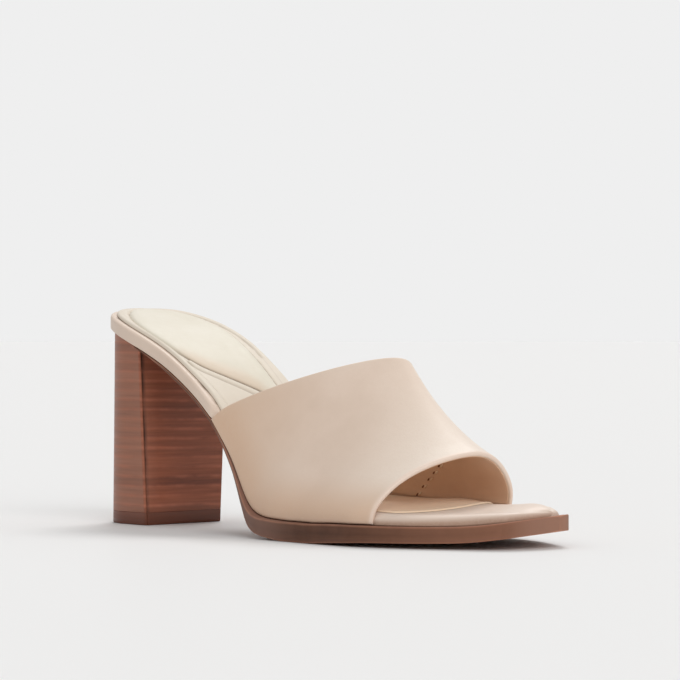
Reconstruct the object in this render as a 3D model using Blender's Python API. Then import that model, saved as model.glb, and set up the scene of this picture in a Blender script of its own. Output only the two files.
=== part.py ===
"""Block heel mule, right shoe, standing empty on its heel and forefoot.

Metres, +Z up, +X from heel to toe, +Y to the inner (medial) side of the foot.
The origin is the centre of the heel's floor face. Every piece is lofted from
sections taken across the shoe. The sections come from the sizes below and from
short tables whose lengths are shares of those sizes.
"""
import math

import bmesh
import bpy
import numpy as np

# Last: the sizes that every piece follows
LENGTH = 0.2240            # back of the heel seat to the toe, along the floor
SEAT_WIDTH = 0.0520        # across the heel seat
BALL_WIDTH = 0.0745        # across the outsole at the ball
SEAT_ROUND = 0.0360        # length of the rounded back of the heel seat
SEAT_SQUARENESS = 2.25     # 2 is an ellipse, more is squarer
HEEL_HEIGHT = 0.0776       # floor to the sole line at the very back
TOE_SPRING = 0.0051        # how far the toe stands off the floor, on the centre line
TOE_TWIST = 0.052          # slope across the toe, which stands higher at the medial side
INSTEP_HEIGHT = 0.0668     # floor to the highest point of the topline
TIP = 0.004                # share of a rounded back that its first section leaves out

# Sole and footbed
SOLE_THICKNESS = 0.0057    # outsole under the toe
SHANK_THICKNESS = 0.0015   # outsole under the shank
LEDGE = 0.0030             # how far the outsole stands out round the forefoot
TOE_LEDGE = 0.0026         # the same in front of the toe pad
SOLE_BEVEL = 0.0005        # broken upper edge of the outsole
FLOOR_BEVEL = 0.0003       # broken lower edge of the outsole and the board
BOARD_THICKNESS = 0.0053   # wrapped board of the footbed
PAD_THICKNESS = 0.0037     # the same at the sides of the toe pad
RIM_ROUND = 0.0013         # rounding of the board's upper edge at the heel
BACK_DROP = 0.0008         # how far the board comes down at its very back
PAD_ROUND = 0.0042         # rounding of the toe pad's upper edge at its sides
PAD_START = 0.70           # where the board starts to become the toe pad, share of LENGTH
PAD_FULL = 0.82            # where it is the toe pad, share of LENGTH
TOE_START = 0.88           # where the pad starts to keep off the toe's edge, share of LENGTH
PAD_FRONT = 0.0170         # length over which the toe pad rounds down to its front
PAD_DROP = 0.0032          # how far it comes down there
PAD_CROWN = 0.0016         # how much higher the toe pad is in its middle
PAD_SKEW = 2.1             # 1 puts its highest line in the middle, more is nearer the medial side
RIM = 0.0026               # width of board that shows outside the sock
SOCK_DRAW = 0.0008         # how much further in the sock's edge lies under the upper
SOCK_DRAW_LENGTH = 0.0150  # length over which it draws in
SOCK_THICKNESS = 0.0014    # sock and its bead
SOCK_FRONT_THICKNESS = 0.0006  # the same where it ends, on the toe pad
CUSHION_RISE = 0.0016      # height of the cushion above the sock
CUSHION_SLOPE = 0.0030     # width of the cushion's sloping edge
CUSHION_EDGE = 0.8         # share of the rise that the sloping edge takes up
CUSHION_LIMIT = 0.9        # the cushion stays within this share of the sock's half width

# Upper
WALL = 0.0018              # leather and lining together
GAP = 0.0003               # between pieces that lie against each other
COVER_STEP = 0.0010        # length over which the board draws in under the upper
BALL_RIB = 0.42            # the rib at the ball of the foot
BALL_SPAN = 0.35           # how far the leather there stands out from a straight line
RIB_FADE = 0.30            # share of a rib that bends to meet the board's edge

# Heel
TOP_LIFT = 0.0049          # thickness of the plate at the floor
HEEL_DEPTH = 0.0313        # breast to back, at the floor
HEEL_WIDTH = 0.0382        # across, at the floor
HEEL_TOP_DEPTH = 0.0266    # breast to back, under the seat
HEEL_TOP_WIDTH = 0.0448    # across, under the seat
HEEL_ROUND = 0.0180        # length of the rounded back of the heel block
HEEL_SQUARENESS = 2.4      # 2 is round, more is squarer
BREAST = 0.0321            # back of the heel seat to the heel's flat front

ORIGIN = BREAST - HEEL_DEPTH / 2
SOCK_FRONT = 0.1880        # back of the heel seat to the middle of the sock's front edge
SOCK_BOW = {"lateral": 0.0075, "medial": 0.0130}  # how far back that edge runs at its ends
SOCK_BOW_LENGTH = 0.0300   # length over which the sock's sections take on that bow


def table(columns, *rows):
    """Rows of numbers under named columns."""
    return dict(zip(columns.split(), np.array(rows, dtype=float).T))


# Side view. along: share of LENGTH. heel and toe: shares of HEEL_HEIGHT and TOE_SPRING.
# sole: 0 is SHANK_THICKNESS, 1 is SOLE_THICKNESS. twist: share of TOE_TWIST.
PROFILE = table(
    "along heel toe sole twist",
    (0.000, 1.000, 0.00, 0.00, 0.00),
    (0.050, 0.969, 0.00, 0.00, 0.00),
    (0.113, 0.918, 0.00, 0.00, 0.00),
    (0.183, 0.845, 0.00, 0.00, 0.00),
    (0.234, 0.780, 0.00, 0.00, 0.00),
    (0.295, 0.677, 0.00, 0.00, 0.00),
    (0.350, 0.558, 0.00, 0.00, 0.00),
    (0.384, 0.463, 0.00, 0.00, 0.00),
    (0.429, 0.318, 0.00, 0.06, 0.00),
    (0.450, 0.238, 0.00, 0.20, 0.00),
    (0.473, 0.144, 0.00, 0.46, 0.00),
    (0.490, 0.078, 0.00, 0.84, 0.00),
    (0.500, 0.054, 0.00, 0.96, 0.00),
    (0.520, 0.030, 0.00, 1.06, 0.00),
    (0.540, 0.018, 0.00, 1.12, 0.00),
    (0.560, 0.010, 0.00, 1.20, 0.00),
    (0.600, 0.000, 0.00, 1.30, 0.00),
    (0.650, 0.000, 0.00, 1.29, 0.00),
    (0.700, 0.000, 0.12, 1.24, 0.00),
    (0.741, 0.000, 0.23, 1.16, 0.03),
    (0.786, 0.000, 0.34, 1.07, 0.09),
    (0.830, 0.000, 0.40, 1.03, 0.17),
    (0.885, 0.000, 0.49, 1.00, 0.38),
    (0.920, 0.000, 0.58, 1.00, 0.68),
    (0.942, 0.000, 0.67, 1.00, 0.88),
    (0.965, 0.000, 0.79, 1.00, 1.00),
    (0.982, 0.000, 0.88, 1.00, 1.00),
    (1.000, 0.000, 1.00, 1.00, 1.00),
)

# Top view. ball: 0 follows SEAT_WIDTH, 1 follows BALL_WIDTH. lateral and medial: shares
# of that width either side of the centre line. ledge: share of LEDGE inside the outsole.
OUTLINE = table(
    "along ball lateral medial ledge",
    (0.000, 0.0, 0.500, 0.490, 0.00),
    (0.165, 0.0, 0.500, 0.488, 0.00),
    (0.268, 0.0, 0.506, 0.442, 0.00),
    (0.375, 0.2, 0.478, 0.398, 0.00),
    (0.429, 0.4, 0.484, 0.407, 0.42),
    (0.473, 0.6, 0.502, 0.437, 0.77),
    (0.531, 0.8, 0.526, 0.463, 1.17),
    (0.607, 1.0, 0.501, 0.462, 1.17),
    (0.674, 1.0, 0.506, 0.475, 1.05),
    (0.741, 1.0, 0.505, 0.490, 0.95),
    (0.808, 1.0, 0.454, 0.491, 0.87),
    (0.853, 1.0, 0.396, 0.467, 0.85),
    (0.897, 1.0, 0.314, 0.419, 0.85),
    (0.942, 1.0, 0.222, 0.354, 0.85),
    (0.965, 1.0, 0.172, 0.314, 0.85),
    (0.982, 1.0, 0.120, 0.282, 0.85),
    (0.993, 1.0, 0.066, 0.260, 0.85),
    (1.000, 1.0, -0.010, 0.235, 0.85),
)

# Raised cushion of the sock. lateral and medial: shares of SEAT_WIDTH, + to the medial side.
# rise: share of CUSHION_RISE.
CUSHION = table(
    "along lateral medial rise",
    (0.030, -0.10, 0.10, 0.0),
    (0.055, -0.24, 0.22, 0.8),
    (0.105, -0.37, 0.33, 1.0),
    (0.165, -0.415, 0.35, 1.0),
    (0.235, -0.400, 0.29, 1.0),
    (0.285, -0.325, 0.26, 1.0),
    (0.310, -0.215, 0.24, 1.0),
    (0.335, -0.085, 0.23, 0.9),
    (0.360, 0.000, 0.22, 0.0),
    (0.400, 0.000, 0.22, 0.0),
)

# Upper: ribs from the topline (rib 0) to the toe opening (rib 1). back and front of the
# feather edge: shares of LENGTH. The crest of a rib: along in shares of LENGTH, side in
# shares of BALL_WIDTH, height in shares of INSTEP_HEIGHT. lateral and medial: how full the
# rib is, 2 is an ellipse. lean: how far its flanks lie forward, in shares of LENGTH.
FEATHER_LATERAL = (0.3730, 0.7893)
FEATHER_MEDIAL = (0.4260, 0.8050)
CREST = table(
    "rib along side height lateral medial lean",
    (0.0, 0.6857, 0.095, 1.000, 1.47, 1.83, 0.007),
    (0.5, 0.7656, 0.075, 0.695, 1.62, 1.85, -0.001),
    (1.0, 0.8518, 0.070, 0.490, 1.76, 1.87, -0.010),
)

RIBS = 19                  # ribs along the upper
RIB_POINTS = 41            # points along each rib
RIB_SAMPLES = 48           # samples of each half rib before it is smoothed
RIB_SMOOTHING = 14         # smoothing passes, which round the bend at the board's edge
HEEL_STATIONS = 10         # stations round the heel's back
BACK_STATIONS = 9          # stations round the back of the seat
STRETCHES = ((0.16, 0.40, 10), (0.40, 0.60, 13), (0.60, 0.88, 10), (0.88, 1.0, 8))
STATION_GAP = 0.0008       # stations lie no closer together than this
CROWN_SHARES = (0.2, 0.4, 0.6, 0.8)  # points across the board, as shares of its width


def curve_through(places, values):
    """A smooth curve through a table's rows that doesn't overshoot them."""
    step = np.diff(places)
    slope = np.diff(values) / step
    tangent = np.zeros(len(places))
    tangent[0] = slope[0]
    tangent[-1] = slope[-1]
    for i in range(1, len(places) - 1):
        if slope[i - 1] * slope[i] > 0:
            before = 2 * step[i] + step[i - 1]
            after = step[i] + 2 * step[i - 1]
            tangent[i] = (before + after) / (before / slope[i - 1] + after / slope[i])

    def value(place):
        place = min(max(place, places[0]), places[-1])
        i = min(int(np.searchsorted(places, place, side="right")) - 1, len(step) - 1)
        t = (place - places[i]) / step[i]
        from_left = values[i] * (1 + 2 * t) + step[i] * tangent[i] * t
        from_right = values[i + 1] * (3 - 2 * t) - step[i] * tangent[i + 1] * (1 - t)
        return from_left * (1 - t) ** 2 + from_right * t ** 2

    return value


def column(rows, name):
    first = "rib" if "rib" in rows else "along"
    return curve_through(rows[first], rows[name])


heel_rise = column(PROFILE, "heel")
toe_rise = column(PROFILE, "toe")
sole_share = column(PROFILE, "sole")
twist_share = column(PROFILE, "twist")
ball_share = column(OUTLINE, "ball")
ledge_share = column(OUTLINE, "ledge")
side_share = {"lateral": column(OUTLINE, "lateral"), "medial": column(OUTLINE, "medial")}
SIDE_SIGN = {"lateral": -1.0, "medial": 1.0}


def sole_line(x):
    """Height of the sole's underside, x measured from the back of the seat."""
    along = x / LENGTH
    return HEEL_HEIGHT * heel_rise(along) + TOE_SPRING * toe_rise(along)


def sole_top(x):
    """Height of the outsole's upper face, where the heel block ends too."""
    share = sole_share(x / LENGTH)
    return sole_line(x) + SHANK_THICKNESS + (SOLE_THICKNESS - SHANK_THICKNESS) * share


def board_bottom(x):
    return sole_top(x) + GAP


def board_thickness(x):
    return BOARD_THICKNESS + (PAD_THICKNESS - BOARD_THICKNESS) * pad_share(x)


def board_top(x):
    return board_bottom(x) + board_thickness(x)


def smooth_step(value):
    value = min(max(value, 0.0), 1.0)
    return value * value * (3 - 2 * value)


def seat_rounding(x, start=0.0):
    """Share of the full width that is left in the rounded back, which starts at start."""
    if x >= SEAT_ROUND:
        return 1.0
    left = 1 - max(x - start, 0.0) / (SEAT_ROUND - start)
    return (1 - left ** SEAT_SQUARENESS) ** (1 / SEAT_SQUARENESS)


def straight_outline(x, side):
    """Outsole's edge before the seat's rounding: distance from the centre line."""
    along = x / LENGTH
    width = SEAT_WIDTH + (BALL_WIDTH - SEAT_WIDTH) * ball_share(along)
    return width * side_share[side](along)


def outline(x, side):
    return straight_outline(x, side) * seat_rounding(x)


def foot_edge(x, side):
    """Outer face of the upper at its foot, and the board's edge where no upper is."""
    return outline(x, side) - LEDGE * ledge_share(x / LENGTH)


def feather(side):
    return FEATHER_LATERAL if side == "lateral" else FEATHER_MEDIAL


def board_slope(x):
    """Angle at which the board falls towards the toe."""
    return math.atan((board_top(x - WALL) - board_top(x + WALL)) / (2 * WALL))


def cover_ends(side):
    """Where the upper's wall starts and ends along the board's side."""
    back, front = (share * LENGTH for share in feather(side))
    slope = board_slope(back)
    return back - board_thickness(back) * math.sin(slope) * math.cos(slope) - GAP, front + GAP


def covered(x, side):
    """1 where the upper covers the board's side, 0 where the board shows."""
    back, front = cover_ends(side)
    rising = smooth_step((x - (back - COVER_STEP)) / COVER_STEP)
    falling = smooth_step((x - front) / COVER_STEP)
    return rising * (1 - falling)


def board_edge(x, side):
    """The board's edge, drawn in where the upper lies against it."""
    return foot_edge(x, side) - (WALL + GAP) * covered(x, side)


def stations(first, last):
    """Places along the shoe, the same ones for every piece, close together where it turns."""
    places = [SEAT_ROUND * (1 - math.cos(math.radians(90) * i / BACK_STATIONS))
              for i in range(1, BACK_STATIONS)]
    for start, stop, count in STRETCHES:
        places += [LENGTH * (start + (stop - start) * i / count) for i in range(count)]
    for side in SIDE_SIGN:
        back, front = cover_ends(side)
        places += [back - COVER_STEP, back, front, front + COVER_STEP]
    kept = [first]
    for place in sorted(places):
        if kept[-1] + STATION_GAP < place < last - STATION_GAP:
            kept.append(place)
    return kept + [last]


def material(name, colour, roughness):
    made = bpy.data.materials.new(name)
    made.use_nodes = True
    shader = made.node_tree.nodes["Principled BSDF"]
    shader.inputs["Base Color"].default_value = (*colour, 1.0)
    shader.inputs["Roughness"].default_value = roughness
    shader.inputs["Metallic"].default_value = 0.0
    return made


def add_piece(name, vertices, faces, finish, sharp=40):
    """One object from untwisted vertices whose x is measured from the back of the seat."""
    mesh = bpy.data.meshes.new(name)
    mesh.from_pydata([(x - ORIGIN, y, z + y * TOE_TWIST * twist_share(x / LENGTH))
                      for x, y, z in vertices], [], faces)
    bm = bmesh.new()
    bm.from_mesh(mesh)
    bmesh.ops.recalc_face_normals(bm, faces=bm.faces)
    bm.to_mesh(mesh)
    bm.free()
    mesh.shade_smooth()
    mesh.set_sharp_from_angle(angle=math.radians(sharp))
    mesh.materials.append(finish)
    piece = bpy.data.objects.new(name, mesh)
    bpy.context.scene.collection.objects.link(piece)
    return piece


def skin_rings(rings):
    """Vertices and faces of a closed loft through rings of equally many points."""
    count = len(rings[0])
    vertices = [point for ring in rings for point in ring]
    faces = []
    for i in range(len(rings) - 1):
        for j in range(count):
            k = (j + 1) % count
            faces.append((i * count + j, i * count + k, (i + 1) * count + k, (i + 1) * count + j))
    faces.append(tuple(range(count - 1, -1, -1)))
    faces.append(tuple(range((len(rings) - 1) * count, len(rings) * count)))
    return vertices, faces


def across(lateral, medial, share):
    return -lateral + (medial + lateral) * share


def outsole_ring(x, shrink=0.0):
    """A section of the outsole."""
    low = sole_line(x) + shrink
    high = sole_top(x) - shrink
    ring = []
    for side in ("lateral", "medial"):
        edge = outline(x, side)
        sign = SIDE_SIGN[side]
        points = [
            (x, sign * (edge - FLOOR_BEVEL), low),
            (x, sign * edge, low + FLOOR_BEVEL),
            (x, sign * edge, high - SOLE_BEVEL),
            (x, sign * (edge - SOLE_BEVEL), high),
        ]
        ring += points if side == "lateral" else points[::-1]
    return ring


def build_outsole(finish):
    rings = [outsole_ring(x) for x in stations(BREAST + GAP, LENGTH - SOLE_BEVEL)]
    rings.append(outsole_ring(LENGTH, SOLE_BEVEL / 2))
    return add_piece("outsole", *skin_rings(rings), finish)


def pad_share(x):
    """0 on the heel's board, 1 on the toe pad."""
    return smooth_step((x / LENGTH - PAD_START) / (PAD_FULL - PAD_START))


def draw_in(x):
    """Footbed's own place for an outsole station, so that its toe is squared alike."""
    return x - TOE_LEDGE * smooth_step((x / LENGTH - TOE_START) / (1 - TOE_START))


def quarter_round(distance, length):
    """0 at an end, rising like a quarter of a circle to 1 at length from it."""
    left = max(1 - distance / length, 0.0)
    return math.sqrt(1 - left ** 2)


def crown(place, share):
    """Rise of the board's upper face, share going from 0 to 1 across it."""
    across_it = 1 - (2 * share ** PAD_SKEW - 1) ** 2
    return PAD_CROWN * pad_share(place) * across_it * quarter_round(LENGTH - place, PAD_FRONT)


def end_drop(place):
    """How far the board's upper face comes down at its two ends."""
    front = PAD_DROP * (1 - quarter_round(LENGTH - place, PAD_FRONT))
    return front + BACK_DROP * (1 - quarter_round(place, RIM_ROUND))


def board_crown(place):
    """Points across the board's upper face between its rounded edges: y and height."""
    x = draw_in(place)
    lateral, medial = (board_edge(place, side) for side in ("lateral", "medial"))
    high = board_top(x) - end_drop(place)
    rounding = RIM_ROUND + (PAD_ROUND - RIM_ROUND) * pad_share(x)
    rounding = min(rounding, 0.45 * min(lateral + medial, high - board_bottom(x)))
    points = [(across(lateral - rounding, medial - rounding, share), high + crown(place, share))
              for share in CROWN_SHARES]
    return rounding, high, points


def board_ring(place):
    """A section of the wrapped board."""
    x = draw_in(place)
    low = board_bottom(x)
    rounding, high, crest = board_crown(place)
    ring = []
    for side in ("lateral", "medial"):
        sign = SIDE_SIGN[side]
        edge = board_edge(place, side)
        points = [(x, sign * (edge - FLOOR_BEVEL), low), (x, sign * edge, low + FLOOR_BEVEL)]
        for turn in (0, 30, 60, 90):
            angle = math.radians(turn)
            inward = rounding * (1 - math.cos(angle))
            down = rounding * (1 - math.sin(angle))
            points.append((x, sign * (edge - inward), high - down))
        ring += points if side == "lateral" else points[::-1]
        if side == "lateral":
            ring += [(x, y, height) for y, height in crest]
    return ring


def build_footbed(finish):
    rings = [board_ring(place) for place in stations(SEAT_ROUND * TIP, LENGTH)]
    return add_piece("footbed", *skin_rings(rings), finish)


cushion_lateral = column(CUSHION, "lateral")
cushion_medial = column(CUSHION, "medial")
cushion_rise = column(CUSHION, "rise")


def sock_edge(x, side):
    """The sock's edge, inside the board's rim and a little further in under the upper."""
    under = smooth_step((x - cover_ends(side)[0]) / SOCK_DRAW_LENGTH + 1)
    inset = RIM + SOCK_DRAW * under
    ledge = LEDGE * ledge_share(x / LENGTH)
    return (straight_outline(x, side) - ledge - inset) * seat_rounding(x, RIM)


def sock_ring(x):
    """A section of the sock: bead, groove and cushion."""
    lateral = -sock_edge(x, "lateral")
    medial = sock_edge(x, "medial")
    along = x / LENGTH
    left = max(cushion_lateral(along) * SEAT_WIDTH, lateral * CUSHION_LIMIT)
    right = min(cushion_medial(along) * SEAT_WIDTH, medial * CUSHION_LIMIT)
    rise = CUSHION_RISE * cushion_rise(along)
    slope = min(CUSHION_SLOPE, (right - left) / 4)
    middle = (left + right) / 2
    corner = SOCK_FRONT_THICKNESS / 2
    bowed = smooth_step(1 - (SOCK_FRONT - x) / SOCK_BOW_LENGTH)

    def point(y, height):
        side = "lateral" if y < 0 else "medial"
        here = x - SOCK_BOW[side] * bowed * (y / sock_edge(x, side)) ** 2
        _, flat, crest = board_crown(here)
        ys, heights = zip((lateral, flat), *crest, (medial, flat))
        return (here, y, float(np.interp(y, ys, heights)) + GAP + height)

    high = SOCK_THICKNESS - (SOCK_THICKNESS - SOCK_FRONT_THICKNESS) * pad_share(x)
    _, _, crest = board_crown(x)
    return [
        point(lateral, 0.0), point(lateral, high - corner), point(lateral + corner, high),
        point(left, high), point(left + slope, high + CUSHION_EDGE * rise),
        point(middle, high + rise),
        point(right - slope, high + CUSHION_EDGE * rise), point(right, high),
        point(medial - corner, high), point(medial, high - corner), point(medial, 0.0),
    ] + [point(y, 0.0) for y, _ in crest[::-1]]


def build_sock(finish):
    rings = [sock_ring(x) for x in stations(RIM + SEAT_ROUND * TIP, SOCK_FRONT)]
    return add_piece("insole_sock", *skin_rings(rings), finish)


def through_crest(name, rib):
    """The parabola through the three rows of the crest table."""
    low, middle, high = CREST[name]
    return (low * (1 - rib) * (1 - 2 * rib) + middle * 4 * rib * (1 - rib)
            + high * rib * (2 * rib - 1))


def rib_base(rib, side):
    """Where a rib meets the board's upper edge."""
    back, front = feather(side)
    x = (back + (front - back) * rib) * LENGTH
    return np.array([x, SIDE_SIGN[side] * foot_edge(x, side), board_top(x)])


def eased_base(rib, side):
    """The same line without the tight bend at the ball, which the leather spans."""
    start = rib_base(0.0, side)
    end = rib_base(1.0, side)
    middle = rib_base(BALL_RIB, side)
    control = middle + BALL_SPAN * (middle - (start + end) / 2)
    return (1 - rib) ** 2 * start + 2 * rib * (1 - rib) * control + rib ** 2 * end


def rib_foot(base):
    """Lower edge of the upper, straight down the board's side from a rib's base."""
    slope = board_slope(base[0])
    x = base[0] - board_thickness(base[0]) * math.cos(slope) * math.sin(slope)
    return np.array([x, base[1], board_bottom(x)])


def half_rib(end, centre, top, fullness, lean):
    """A quarter of a superellipse from the board's edge to the crest."""
    points = []
    for angle in np.linspace(0, math.pi / 2, RIB_SAMPLES):
        out = max(math.cos(angle), 0.0) ** (2 / fullness)
        up = math.sin(angle) ** (2 / fullness)
        point = centre + (end - centre) * out + (top - centre) * up
        point[0] += lean * math.sin(2 * angle) ** 2
        points.append(point)
    return points


def rib_line(rib):
    """One rib, from the lateral feather edge over the foot to the medial one."""
    ends = {side: eased_base(rib, side) for side in SIDE_SIGN}
    top = np.array([through_crest("along", rib) * LENGTH, through_crest("side", rib) * BALL_WIDTH,
                    through_crest("height", rib) * INSTEP_HEIGHT])
    share = (top[1] - ends["lateral"][1]) / (ends["medial"][1] - ends["lateral"][1])
    centre = ends["lateral"] + (ends["medial"] - ends["lateral"]) * share
    lean = through_crest("lean", rib) * LENGTH
    lateral = half_rib(ends["lateral"], centre, top, through_crest("lateral", rib), lean)
    medial = half_rib(ends["medial"], centre, top, through_crest("medial", rib), lean)
    line = np.array(lateral + medial[::-1][1:])
    way = np.linspace(0, 1, len(line))
    for side, from_end in (("lateral", way), ("medial", 1 - way)):
        pull = np.clip(1 - from_end / RIB_FADE, 0, 1) ** 2
        line += np.outer(pull, rib_base(rib, side) - ends[side])
    feet = [rib_foot(line[0]), rib_foot(line[-1])]
    line = spread(np.vstack([feet[0], line, feet[1]]), 2 * RIB_SAMPLES)
    for _ in range(RIB_SMOOTHING):
        line[1:-1] = (line[:-2] + 2 * line[1:-1] + line[2:]) / 4
    return spread(line, RIB_POINTS)


def spread(line, count):
    """The same line with count points at equal distances."""
    lengths = np.linalg.norm(np.diff(line, axis=0), axis=1)
    way = np.concatenate([[0.0], np.cumsum(lengths)])
    wanted = np.linspace(0, way[-1], count)
    return np.stack([np.interp(wanted, way, line[:, axis]) for axis in range(3)], axis=1)


def upper_skin():
    """Outer face of the upper as a grid, ribs by points."""
    return np.array([rib_line(i / (RIBS - 1)) for i in range(RIBS)])


def inward(grid):
    """Directions from the upper's outer face towards the foot."""
    along = np.gradient(grid, axis=0)
    around = np.gradient(grid, axis=1)
    normal = np.cross(along, around)
    normal /= np.linalg.norm(normal, axis=2)[:, :, None]
    middle = grid.shape[1] // 2
    if normal[0, middle, 2] > 0:
        normal = -normal
    return normal


def build_upper(finish):
    """One hollow band with a wall of even thickness."""
    outer = upper_skin()
    inner = outer + inward(outer) * WALL
    rows, cols = outer.shape[:2]
    vertices = [tuple(point) for point in np.vstack([outer.reshape(-1, 3), inner.reshape(-1, 3)])]
    under = rows * cols
    faces = []
    for i in range(rows - 1):
        for j in range(cols - 1):
            a = i * cols + j
            quad = (a, a + 1, a + cols + 1, a + cols)
            faces.append(quad)
            faces.append(tuple(under + corner for corner in quad[::-1]))
    rim = [j for j in range(cols)]
    rim += [i * cols + cols - 1 for i in range(1, rows)]
    rim += [(rows - 1) * cols + j for j in range(cols - 2, -1, -1)]
    rim += [i * cols for i in range(rows - 2, 0, -1)]
    for i, corner in enumerate(rim):
        following = rim[(i + 1) % len(rim)]
        faces.append((corner, under + corner, under + following, following))
    return add_piece("upper", vertices, faces, finish)


def heel_half_width(from_back, width):
    """Half of the heel's width, in its rounded back and its straight sides."""
    if from_back >= HEEL_ROUND:
        return width / 2
    left = 1 - from_back / HEEL_ROUND
    return width / 2 * (1 - left ** HEEL_SQUARENESS) ** (1 / HEEL_SQUARENESS)


def heel_places():
    """Places from the heel's back to its breast, as shares of its depth."""
    rounded = HEEL_ROUND / HEEL_DEPTH
    places = [rounded * (1 - math.cos(math.radians(90) * i / HEEL_STATIONS))
              for i in range(1, HEEL_STATIONS)]
    return [rounded * TIP] + places + [rounded, (1 + rounded) / 2, 1.0]


def heel_section(share):
    """Depth and width of the heel at a share of its height."""
    depth = HEEL_DEPTH + (HEEL_TOP_DEPTH - HEEL_DEPTH) * share
    width = HEEL_WIDTH + (HEEL_TOP_WIDTH - HEEL_WIDTH) * share
    return depth, width


def heel_ring(place, share_low, share_high, z_low, z_high):
    """A section across the heel: up its lateral side, down its medial side."""
    corners = []
    for share, height in ((share_low, z_low), (share_high, z_high)):
        depth, width = heel_section(share)
        x = BREAST - depth * (1 - place)
        half = heel_half_width(place * depth, width)
        corners.append((x, half, height if height is not None else sole_top(x)))
    (x_low, half_low, low), (x_high, half_high, high) = corners
    return [(x_low, -half_low, low), (x_high, -half_high, high),
            (x_high, half_high, high), (x_low, half_low, low)]


def build_heel(block_finish, lift_finish):
    lift_share = TOP_LIFT / sole_top(BREAST)
    block = [heel_ring(place, lift_share, 1.0, TOP_LIFT + GAP, None) for place in heel_places()]
    lift = [heel_ring(place, 0.0, lift_share, 0.0, TOP_LIFT) for place in heel_places()]
    return (add_piece("heel_block", *skin_rings(block), block_finish),
            add_piece("heel_top_lift", *skin_rings(lift), lift_finish))


def main():
    for old in list(bpy.data.objects):
        bpy.data.objects.remove(old, do_unlink=True)
    nude = material("nude_leather", (0.68, 0.53, 0.42), 0.55)
    cream = material("cream_leather", (0.80, 0.73, 0.62), 0.6)
    sock = material("cream_sock", (0.82, 0.78, 0.68), 0.65)
    brown = material("brown_sole", (0.13, 0.06, 0.035), 0.5)
    stacked = material("stacked_leather", (0.24, 0.10, 0.06), 0.4)
    lift = material("dark_brown_lift", (0.14, 0.06, 0.04), 0.45)
    build_outsole(brown)
    build_footbed(cream)
    build_sock(sock)
    build_upper(nude)
    build_heel(stacked, lift)


main()
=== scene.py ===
"""Looks of the block heel mule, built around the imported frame.

Metres, +Z up, +X from heel to toe, +Y to the inner (medial) side of the foot. Most
functions measure x from the back of the heel seat, as the part's own source does, and
place() moves such points into the frame.
"""

import math

import bmesh
import bpy
import numpy as np
from mathutils import Matrix, Vector
from mathutils.bvhtree import BVHTree
from mathutils.kdtree import KDTree


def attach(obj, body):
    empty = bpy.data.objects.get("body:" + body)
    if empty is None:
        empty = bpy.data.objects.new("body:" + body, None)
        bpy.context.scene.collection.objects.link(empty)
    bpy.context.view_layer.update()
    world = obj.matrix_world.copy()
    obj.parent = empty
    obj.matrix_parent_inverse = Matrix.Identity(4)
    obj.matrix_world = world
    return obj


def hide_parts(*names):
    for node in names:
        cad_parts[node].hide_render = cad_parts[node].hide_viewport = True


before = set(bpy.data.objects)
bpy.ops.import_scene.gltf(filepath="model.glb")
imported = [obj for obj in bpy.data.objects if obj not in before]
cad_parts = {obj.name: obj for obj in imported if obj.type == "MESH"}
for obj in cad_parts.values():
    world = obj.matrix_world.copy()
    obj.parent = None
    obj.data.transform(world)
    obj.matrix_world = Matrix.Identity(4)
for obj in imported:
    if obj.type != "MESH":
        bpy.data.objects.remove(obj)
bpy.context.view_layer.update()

# Camera, as the photograph was taken
CAMERA_PLACE = (0.89003, -0.7121, 0.07348)
CAMERA_AZIMUTH = 47.69
CAMERA_ELEVATION = 0.04
FRAME_PIXELS = 680
FOCAL_PIXELS = 2838.9
SENSOR = 36.0
CLIP_START = 0.05
CLIP_END = 200

# Sizes that the part's source gives too
LENGTH = 0.224
SEAT_WIDTH = 0.052
BALL_WIDTH = 0.0745
SEAT_ROUND = 0.036
SEAT_SQUARENESS = 2.25
HEEL_HEIGHT = 0.0776
TOE_SPRING = 0.0051
TOE_TWIST = 0.052
INSTEP_HEIGHT = 0.0668
TIP = 0.004
SOLE_THICKNESS = 0.0057
SHANK_THICKNESS = 0.0015
LEDGE = 0.003
TOE_LEDGE = 0.0026
SOLE_BEVEL = 0.0005
FLOOR_BEVEL = 0.0003
BOARD_THICKNESS = 0.0053
PAD_THICKNESS = 0.0037
RIM_ROUND = 0.0013
BACK_DROP = 0.0008
PAD_START = 0.7
PAD_FULL = 0.82
TOE_START = 0.88
PAD_FRONT = 0.017
PAD_DROP = 0.0032
PAD_CROWN = 0.0016
PAD_SKEW = 2.1
RIM = 0.0026
SOCK_DRAW = 0.0008
SOCK_DRAW_LENGTH = 0.015
WALL = 0.0018
GAP = 0.0003
BALL_RIB = 0.42
BALL_SPAN = 0.35
RIB_FADE = 0.3
TOP_LIFT = 0.0049
HEEL_DEPTH = 0.0313
HEEL_WIDTH = 0.0382
HEEL_TOP_DEPTH = 0.0266
HEEL_TOP_WIDTH = 0.0448
HEEL_ROUND = 0.018
HEEL_SQUARENESS = 2.4
BREAST = 0.0321
ORIGIN = BREAST - HEEL_DEPTH / 2
SOCK_FRONT = 0.188
SOCK_BOW = {"lateral": 0.0075, "medial": 0.013}
SOCK_BOW_LENGTH = 0.03

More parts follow.
